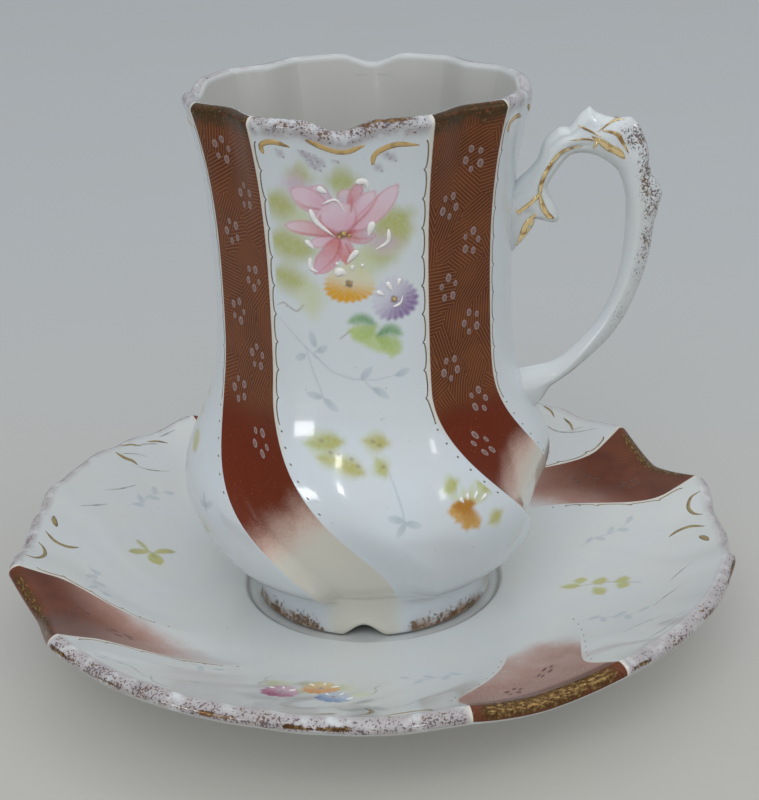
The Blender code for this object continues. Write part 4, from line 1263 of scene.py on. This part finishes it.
COMMAS = [([(-3.4, 75.7), (-2.0, 74.9)], 0.42), ([(-4.7, 72.4), (-3.9, 70.5), (-1.2, 68.3)], 0.36),
          ([(-2.9, 73.2), (-0.8, 73.9), (0.5, 71.9)], 0.15),
          ([(2.0, 76.5), (3.4, 76.5), (3.9, 75.1)], 0.40),
          ([(4.3, 70.5), (3.5, 68.3)], 0.45), ([(6.5, 69.2), (6.3, 67.3), (4.4, 66.2)], 0.26),
          ([(-5.7, 67.6), (-4.4, 66.3)], 0.34), ([(-5.1, 65.0), (-5.1, 63.4), (-4.0, 62.8)], 0.32),
          ([(2.0, 66.2), (0.3, 64.4)], 0.40), ([(-1.3, 64.4), (-0.8, 64.0)], 0.24),
          ([(-1.5, 62.5), (-0.7, 63.0), (0.2, 62.5)], 0.55), ([(1.1, 64.0), (1.1, 63.0)], 0.26),
          ([(2.5, 64.2), (2.6, 63.5)], 0.20), ([(4.4, 59.9), (5.6, 59.1)], 0.28),
          ([(6.0, 61.2), (6.8, 59.6)], 0.30), ([(7.9, 61.6), (7.6, 60.3)], 0.26),
          ([(6.8, 57.3), (7.9, 57.8), (8.3, 59.0)], 0.17), ([(17.2, 27.6), (17.9, 26.7)], 0.26),
          ([(18.5, 28.0), (18.7, 26.9)], 0.24), ([(20.4, 27.8), (19.8, 26.8)], 0.26),
          ([(22.2, 27.0), (21.0, 26.4)], 0.22)]
films = []
for facing in (FRONT, BACK):
    where = on_cup(facing)
    films += [bead(where, path, 1.3 * width, 0.24, 10, taper=(0.25, 0.7)) for path, width in COMMAS]
cup_enamel = skin("cup_enamel", films, enamel)
fire_on(cup_enamel, "cup")

RIM_SCROLLS = [[(-11.4, 80.2), (-11.6, 81.6), (-9.6, 82.2), (-7.0, 81.6)],
               [(-4.6, 82.8), (0.2, 81.1), (3.7, 82.0)],
               [(4.5, 79.0), (5.2, 80.7), (8.0, 81.8), (11.4, 81.4)]]
GOLD_HEARTS = [(0.1, 68.8, 0.42), (0.9, 68.5, 0.30), (-0.6, 68.3, 0.26), (0.5, 61.2, 0.36),
               (7.0, 58.5, 0.34)]
PANEL_HALF_ANGLE = 29.7
scrolls, lines = [], []
for facing in (0.0, BACK, LEFT, FRONT):
    scrolls += [bead(on_cup(facing), path, 0.42, 0.06, 14, taper=(0.2, 0.35)) for path in RIM_SCROLLS]
    where = on_cup(facing, swirled=True)
    for side in (-1, 1):
        edge = np.radians(side * PANEL_HALF_ANGLE)
        line = [(edge * panel_radius(v) - side * (0.55 + u), v) for u, v in scallops(82.0, 40.0, 4.4, 0.45)]
        lines.append(bead(where, line, 0.11, 0.03, 130, taper=(0.02, 0.05)))
        dots = [(edge * panel_radius(v) - side * 0.9, v) for v in np.arange(37.5, 26.0, -2.2)]
        lines += [spot(where, place, 0.19, 0.05) for place in dots]
for facing in (FRONT, BACK):
    scrolls += [spot(on_cup(facing), (x, v), size, 0.22) for x, v, size in GOLD_HEARTS]
rim_gold = gold_leaf("rim_gold", (0.66, 0.46, 0.20), (0.36, 0.24, 0.10), 0.35)
line_gold = gold_leaf("line_gold", (0.20, 0.17, 0.10), (0.11, 0.095, 0.07), 0.2)
cup_gilding = skin("cup_gilding", scrolls, rim_gold)
cup_lines = skin("cup_lines", lines, line_gold)
fire_on(cup_gilding, "cup")
fire_on(cup_lines, "cup")

DOT_TINTS = np.array([(0.10, 0.04, 0.025, 1.0), (0.37, 0.27, 0.26, 1.0), (0.22, 0.13, 0.11, 1.0)])
dots = []
for k in range(4):
    where = on_cup(SECTOR * (k + 0.5), swirled=True)
    for up in range(8):
        side = 1 if (up + k) % 2 else -1
        height = 79.0 - 6.3 * up - 1.6 * (k % 2)
        dots += dot_blossom(where, 2.3 * side, height, 90.0 + 17.0 * up + 31.0 * k, 1.45)
tints = [np.repeat(DOT_TINTS[:, None], DOT_SIDES, axis=1)] * len(dots)
band_blossoms = skin("cup_band_blossoms", dots, tinted_enamel("tinted_enamel"), tint=tints)
fire_on(band_blossoms, "cup")

# Handle
# Cast in its own mould and luted to the neck: a scrolled upper root with a finger spur, a leafy crest, a
# thumb spur and a plain tapering arm. Gold picks out the scroll and specks are sponged down its back.
HANDLE_REACH = 19.6
HANDLE_TOP = 77.2
HANDLE_ROOT = 64.2
HANDLE_END = 35.0
ROOT_HALF_HEIGHT = 6.4
ARM_HALF_DEPTH = 2.1
ARM_HALF_WIDTH = 2.6
SPINE_UP = [(-0.16, 0.00), (0.08, 0.20), (0.24, 0.62), (0.40, 0.92)]
SPINE_DOWN = [(0.60, 0.00), (0.79, 0.025), (0.93, 0.09), (0.985, 0.18), (1.00, 0.29), (0.98, 0.42),
              (0.91, 0.55), (0.79, 0.68), (0.62, 0.80), (0.42, 0.905), (0.22, 0.96), (-0.10, 1.00)]
CREST_RISE = 2.2
THUMB_SPUR_RISE = 1.2
FINGER_SPUR_RISE = 3.6
FINGER_SPUR_AT = 0.076
ARCH_DEPTH = 1.0
CREST_LINE = [(0.207, 0.0), (0.222, -0.25), (0.234, 0.05), (0.247, 0.5), (0.265, 0.95), (0.277, 0.55),
              (0.294, 0.4), (0.315, 0.45), (0.335, 1.0), (0.350, 0.95), (0.367, 0.65), (0.388, 0.4),
              (0.411, 0.1), (0.426, -0.12), (0.440, 0.0)]
THUMB_LINE = [(0.435, 0.0), (0.448, -0.2), (0.465, 0.4), (0.481, 0.9), (0.497, 1.0), (0.515, 0.55),
              (0.535, 0.4), (0.550, 0.05), (0.560, 0.0)]
CREASES = (0.29, 0.325, 0.36, 0.40, 0.49)
HANDLE_ROWS = 320
HANDLE_COLUMNS = 56


def handle_reach(t):
    """How far the handle reaches out and in from its spine at places from 0 to 1 along it.

    The arm has an even depth, less where it is slim. Added to it are the two roots, the leaf's crest and
    thumb spur outside, as straight runs between their knots, and the arch and the finger spur inside.
    """
    arm = ARM_HALF_DEPTH
    root = ROOT_HALF_HEIGHT - arm
    crest = CREST_RISE * np.interp(t, *np.transpose(CREST_LINE))
    thumb = THUMB_SPUR_RISE * np.interp(t, *np.transpose(THUMB_LINE))
    finger = FINGER_SPUR_RISE * bump((t - FINGER_SPUR_AT) / np.where(t < FINGER_SPUR_AT, 0.014, 0.033))
    outer = 1.1 * arm + 0.55 * root * (1.0 - ease(t / 0.125)) + crest + thumb
    slim = 0.42 * bump((t - 0.135) / 0.047) + 0.5 * bump((t - 0.88) / 0.14)
    outer += arm * (1.4 * ease((t - 0.905) / 0.07) - slim)
    inner = arm + root * (1.0 - ease(t / 0.10)) + finger + ARCH_DEPTH * bump((t - 0.33) / 0.2)
    inner += arm * (0.52 * ease((t - 0.83) / 0.15) - 0.45 * bump((t - 0.74) / 0.2))
    return outer, inner


def handle_lines(count):
    """The handle's spine, its outward direction, and how far it reaches outwards, inwards and sideways."""
    knots = [(x, HANDLE_ROOT + (HANDLE_TOP - HANDLE_ROOT) * z) for x, z in SPINE_UP]
    knots += [(x, HANDLE_TOP - (HANDLE_TOP - HANDLE_END) * z) for x, z in SPINE_DOWN]
    spine = follow([(WAIST_RADIUS + HANDLE_REACH * x, CUP_BASE + z) for x, z in knots], count)
    along = np.gradient(spine, axis=0)
    along /= np.linalg.norm(along, axis=1)[:, None]
    outward = np.stack([-along[:, 1], along[:, 0]], axis=1)
    t = np.linspace(0.0, 1.0, count)
    outer, inner = handle_reach(t)
    wide = ARM_HALF_WIDTH * (1.0 - 0.28 * ease((t - 0.45) / 0.35) + 0.30 * ease((t - 0.86) / 0.14))
    return spine, outward, outer, inner, wide, t


spine, outward, outer, inner, wide, t = handle_lines(HANDLE_ROWS)
turn = np.radians(np.linspace(0.0, 360.0, HANDLE_COLUMNS, endpoint=False))
cosine, sine = np.cos(turn), np.sin(turn)
reach = np.where(cosine > 0.0, outer[:, None], inner[:, None]) * cosine
flat = spine[:, None, :] + reach[..., None] * outward[:, None, :]
round_arm = np.degrees(turn)
off_flank = (round_arm % 180.0 - 90.0) * np.sign(90.0 - np.abs(round_arm - 180.0))
groove = 0.35 * bump(off_flank / 15.0 + 1.6) * (bump((t - 0.16) / 0.16) ** 0.5)[:, None]
veins = sum(bump((t[:, None] - at + 0.04 * (cosine - 0.5)) / 0.011) for at in CREASES)
groove += 0.28 * veins * ease((cosine - 0.15) / 0.4)
ridge = 0.35 * ease((t - 0.48) / 0.1)[:, None]
round_flank = (1.0 - ridge) * np.abs(sine) ** 0.9 + ridge * (1.0 - np.abs(cosine) ** 1.25)
side = (wide[:, None] - groove) * np.sign(sine) * round_flank
arm = np.stack([flat[..., 0], side, flat[..., 1]], axis=-1)
from_axis, up_cup = np.hypot(arm[..., 0], arm[..., 1]), arm[..., 2] - CUP_BASE
column = np.degrees(np.arctan2(arm[..., 1], arm[..., 0])) - cup_swirl(up_cup)
mid_wall = cup_radius(column, up_cup) - CUP_WALL / 2
arm[..., :2] *= (np.maximum(from_axis, mid_wall) / from_axis)[..., None]
thinning = 0.45 * ease((t - 0.56) / 0.10) + 0.55 * ease((t - 0.80) / 0.16)
down_back = ease((t - 0.30) / 0.06) * (1.0 - thinning)
sponge = 0.8 * ease((cosine + 0.35) / 0.8) * down_back[:, None]

HANDLE_WHITES = (0.705, 0.735, 0.74), (0.70, 0.745, 0.765)


def handle_glaze():
    """White glaze with dark gold specks sponged down the back of the handle."""
    recipe = Recipe("handle_glaze")
    colour = white_glaze(recipe, *HANDLE_WHITES)
    sponge = recipe.detail("sponge").outputs["Fac"]
    colour, metal = sponged(recipe, colour, sponge, recipe.math("MULTIPLY", sponge, 0.3), haze=0.2)
    recipe.set(Base_Color=colour, Metallic=metal, Roughness=0.13, **GLAZE_COAT)
    recipe.relief(recipe.noise(4.0, 2.0), 0.2, 0.06)
    return recipe.material


handle = skin("cup_handle", [arm], handle_glaze(), sponge=[sponge[..., None]])
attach(handle, "cup")
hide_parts("cup_handle")


def on_handle(side):
    """A surface for films on one flank of the handle: u is the distance from the axis, v the height."""

    def surface(u, v, lift):
        gap = np.stack([u, v], axis=-1)[..., None, :] - spine
        nearest = np.argmin((gap**2).sum(axis=-1), axis=-1)
        off = ((np.stack([u, v], axis=-1) - spine[nearest]) * outward[nearest]).sum(axis=-1)
        share = np.clip(off / np.where(off > 0.0, outer[nearest], inner[nearest]), -0.98, 0.98)
        flank = wide[nearest] * (1.0 - share**2) ** 0.45 + lift
        sheet = np.stack([u, side * flank, v], axis=-1)
        return sheet if side < 0 else sheet[:, ::-1]

    return surface


LONG_SCROLL = [(34.3, 80.8), (32.7, 80.5), (30.9, 79.8), (29.4, 77.9), (28.3, 75.6), (27.9, 73.2)]
SCROLL_LINES = [(LONG_SCROLL, 0.30, (0.7, 0.15)),
                ([(28.2, 73.8), (26.7, 72.2), (25.5, 71.2), (24.4, 70.4)], 0.34, (0.3, 0.35)),
                ([(24.9, 70.8), (24.4, 70.4)], 0.55, (0.6, 0.6)),
                ([(27.8, 73.8), (28.3, 71.6), (29.1, 70.0), (30.1, 69.2)], 0.42, (0.5, 0.3)),
                ([(27.2, 70.2), (25.9, 67.7), (24.4, 64.6)], 0.85, (0.5, 0.7)),
                ([(35.6, 82.3), (37.0, 81.5), (38.3, 80.5), (39.6, 79.9), (40.6, 78.8)], 0.62, (0.5, 0.3)),
                ([(37.2, 83.2), (39.3, 82.6), (40.2, 81.4), (41.2, 79.6)], 0.32, (0.5, 0.6)),
                ([(36.4, 83.0), (38.6, 84.3), (40.6, 84.5)], 0.14, (0.5, 0.5)),
                ([(37.0, 82.4), (36.2, 81.0), (35.8, 80.4)], 0.22, (0.5, 0.5)),
                ([(33.3, 84.0), (35.2, 83.2), (36.8, 82.3)], 0.13, (0.4, 0.4)),
                ([(32.3, 81.7), (34.8, 81.9), (36.8, 81.4)], 0.13, (0.4, 0.4))]
films = []
for side in (-1, 1):
    films += [bead(on_handle(side), path, width, 0.16, 18, 8, taper) for path, width, taper in SCROLL_LINES]
handle_gold = gold_leaf("handle_gold", (1.0, 0.78, 0.42), (0.40, 0.23, 0.08), 1.0)
handle_gilding = skin("handle_gilding", films, handle_gold)
fire_on(handle_gilding, "cup")

# Stage
# A pale tabletop that runs on behind the cup, under a soft key light, a fill and a ceiling, with four
# small windows for the gloss and a room that is brighter overhead.
TABLE_HALF_WIDTH = 3.0
TABLE_FRONT = (0.58, 0.565, 0.52)
TABLE_BACK = (0.53, 0.555, 0.57)
TABLE_SMUDGE = (0.54, 0.53, 0.51)
TABLE_DARKENED = 0.36
TABLE_SHOWN = 0.235
CAMERA_REACH = 242.6
CAMERA_HEIGHT = 138.58
CAMERA_TURN = 6.3
CAMERA_PITCH = 22.547
CAMERA_YAW = 0.463
CAMERA_ROLL = -1.767
CAMERA_LENS = 71.70


def table_finish():
    """A pale matt tabletop, a little warmer near the front, with faint smudges.

    Part of its paleness is shown to the camera and to gloss alone, so that its shadows stay light.
    """
    recipe = Recipe("table")
    back = recipe.rise(recipe.split(recipe.add("ShaderNodeTexCoord", {}).outputs["Object"])[1], -0.12, 0.25)
    colour = recipe.mix(back, TABLE_FRONT, TABLE_BACK)
    smudge = recipe.math("MULTIPLY", recipe.rise(recipe.noise(45.0, 4.0), 0.45, 0.75), 0.16)
    colour = recipe.mix(smudge, colour, TABLE_SMUDGE)
    seen = recipe.add("ShaderNodeLightPath", {}).outputs
    shown = recipe.math("ADD", seen["Is Camera Ray"], seen["Is Glossy Ray"])
    shown = recipe.math("ADD", shown, seen["Is Transmission Ray"])
    recipe.set(Base_Color=recipe.mix(TABLE_DARKENED, colour, (0.0, 0.0, 0.0)), Roughness=0.55)
    recipe.set(Emission_Color=colour, Emission_Strength=recipe.math("MULTIPLY", shown, TABLE_SHOWN))
    return recipe.material


table_mesh = bpy.data.meshes.new("table")
corners = [TABLE_HALF_WIDTH * np.array(way) for way in ((-1, -1, 0), (1, -1, 0), (1, 1, 0), (-1, 1, 0))]
table_mesh.from_pydata(corners, [], [(0, 1, 2, 3)])
table_mesh.materials.append(table_finish())
table = bpy.data.objects.new("table", table_mesh)
bpy.context.scene.collection.objects.link(table)


def softbox(name, at, aim, size, power, colour, glossy=True):
    """A rectangular area light at a place in metres, turned towards a point."""
    lamp = bpy.data.lights.new(name, "AREA")
    lamp.shape = "RECTANGLE"
    lamp.size, lamp.size_y = size
    lamp.energy = power
    lamp.color = colour
    holder = bpy.data.objects.new(name, lamp)
    way = np.array(aim) - np.array(at)
    holder.location = at
    holder.rotation_euler = Vector(way).to_track_quat("-Z", "Y").to_euler()
    holder.visible_glossy = glossy
    bpy.context.scene.collection.objects.link(holder)


softbox("key", (-0.10, -0.96, 1.10), (0, 0, 0.05), (0.9, 0.7), 5.6, (0.97, 0.985, 1.0), glossy=False)
softbox("fill", (0.76, -0.42, 1.05), (0, 0, 0.03), (0.9, 0.9), 2.0, (1.0, 0.985, 0.96), glossy=False)
softbox("ceiling", (0.15, 0.1, 1.4), (0, 0, 0), (1.4, 1.4), 1.5, (1.0, 0.98, 0.95), glossy=False)
softbox("left_window", (-0.62, -0.77, 0.14), (0, 0, 0.04), (0.25, 0.12), 0.7, (1.0, 1.0, 1.0))
softbox("front_window", (-0.23, -0.90, 0.38), (0, 0, 0.03), (0.07, 0.06), 0.16, (1.0, 1.0, 1.0))
softbox("side_window", (0.66, -0.14, 0.60), (0, 0, 0.03), (0.14, 0.10), 0.3, (1.0, 1.0, 1.0))
softbox("right_window", (0.73, -0.61, 0.30), (0, 0, 0.03), (0.06, 0.08), 0.08, (1.0, 1.0, 1.0))

world = bpy.data.worlds.new("room")
world.use_nodes = True
background = world.node_tree.nodes["Background"]
skyward = world.node_tree.nodes.new("ShaderNodeTexCoord")
height = world.node_tree.nodes.new("ShaderNodeSeparateXYZ")
blend = world.node_tree.nodes.new("ShaderNodeValToRGB")
blend.color_ramp.elements[0].color = (0.25, 0.265, 0.28, 1.0)
blend.color_ramp.elements[1].color = (0.63, 0.66, 0.69, 1.0)
world.node_tree.links.new(skyward.outputs["Generated"], height.inputs[0])
world.node_tree.links.new(height.outputs["Z"], blend.inputs[0])
world.node_tree.links.new(blend.outputs["Color"], background.inputs["Color"])
background.inputs["Strength"].default_value = 1.0
bpy.context.scene.world = world


def camera_axes():
    """Right, up and back of the camera, pitched down, yawed and rolled, before its turn about the cup."""
    pitch, yaw, roll = np.radians([CAMERA_PITCH, CAMERA_YAW, CAMERA_ROLL])
    ahead = np.array([np.sin(yaw) * np.cos(pitch), np.cos(yaw) * np.cos(pitch), -np.sin(pitch)])
    right = np.cross(ahead, [0.0, 0.0, 1.0])
    right /= np.linalg.norm(right)
    up = np.cross(right, ahead)
    return right * np.cos(roll) + up * np.sin(roll), up * np.cos(roll) - right * np.sin(roll), -ahead


turn = np.radians(CAMERA_TURN)
spin = np.array([[np.cos(turn), -np.sin(turn), 0.0], [np.sin(turn), np.cos(turn), 0.0], [0.0, 0.0, 1.0]])
pose = np.eye(4)
pose[:3, :3] = spin @ np.stack(camera_axes(), axis=1)
pose[:3, 3] = spin @ [0.0, -CAMERA_REACH * MM, CAMERA_HEIGHT * MM]
lens = bpy.data.cameras.new("camera")
lens.lens = CAMERA_LENS
lens.sensor_width = 36.0
lens.clip_start = 0.01
camera = bpy.data.objects.new("camera", lens)
camera.matrix_world = pose.T.tolist()
bpy.context.scene.collection.objects.link(camera)
bpy.context.scene.camera = camera
bpy.context.scene.view_settings.view_transform = "Standard"
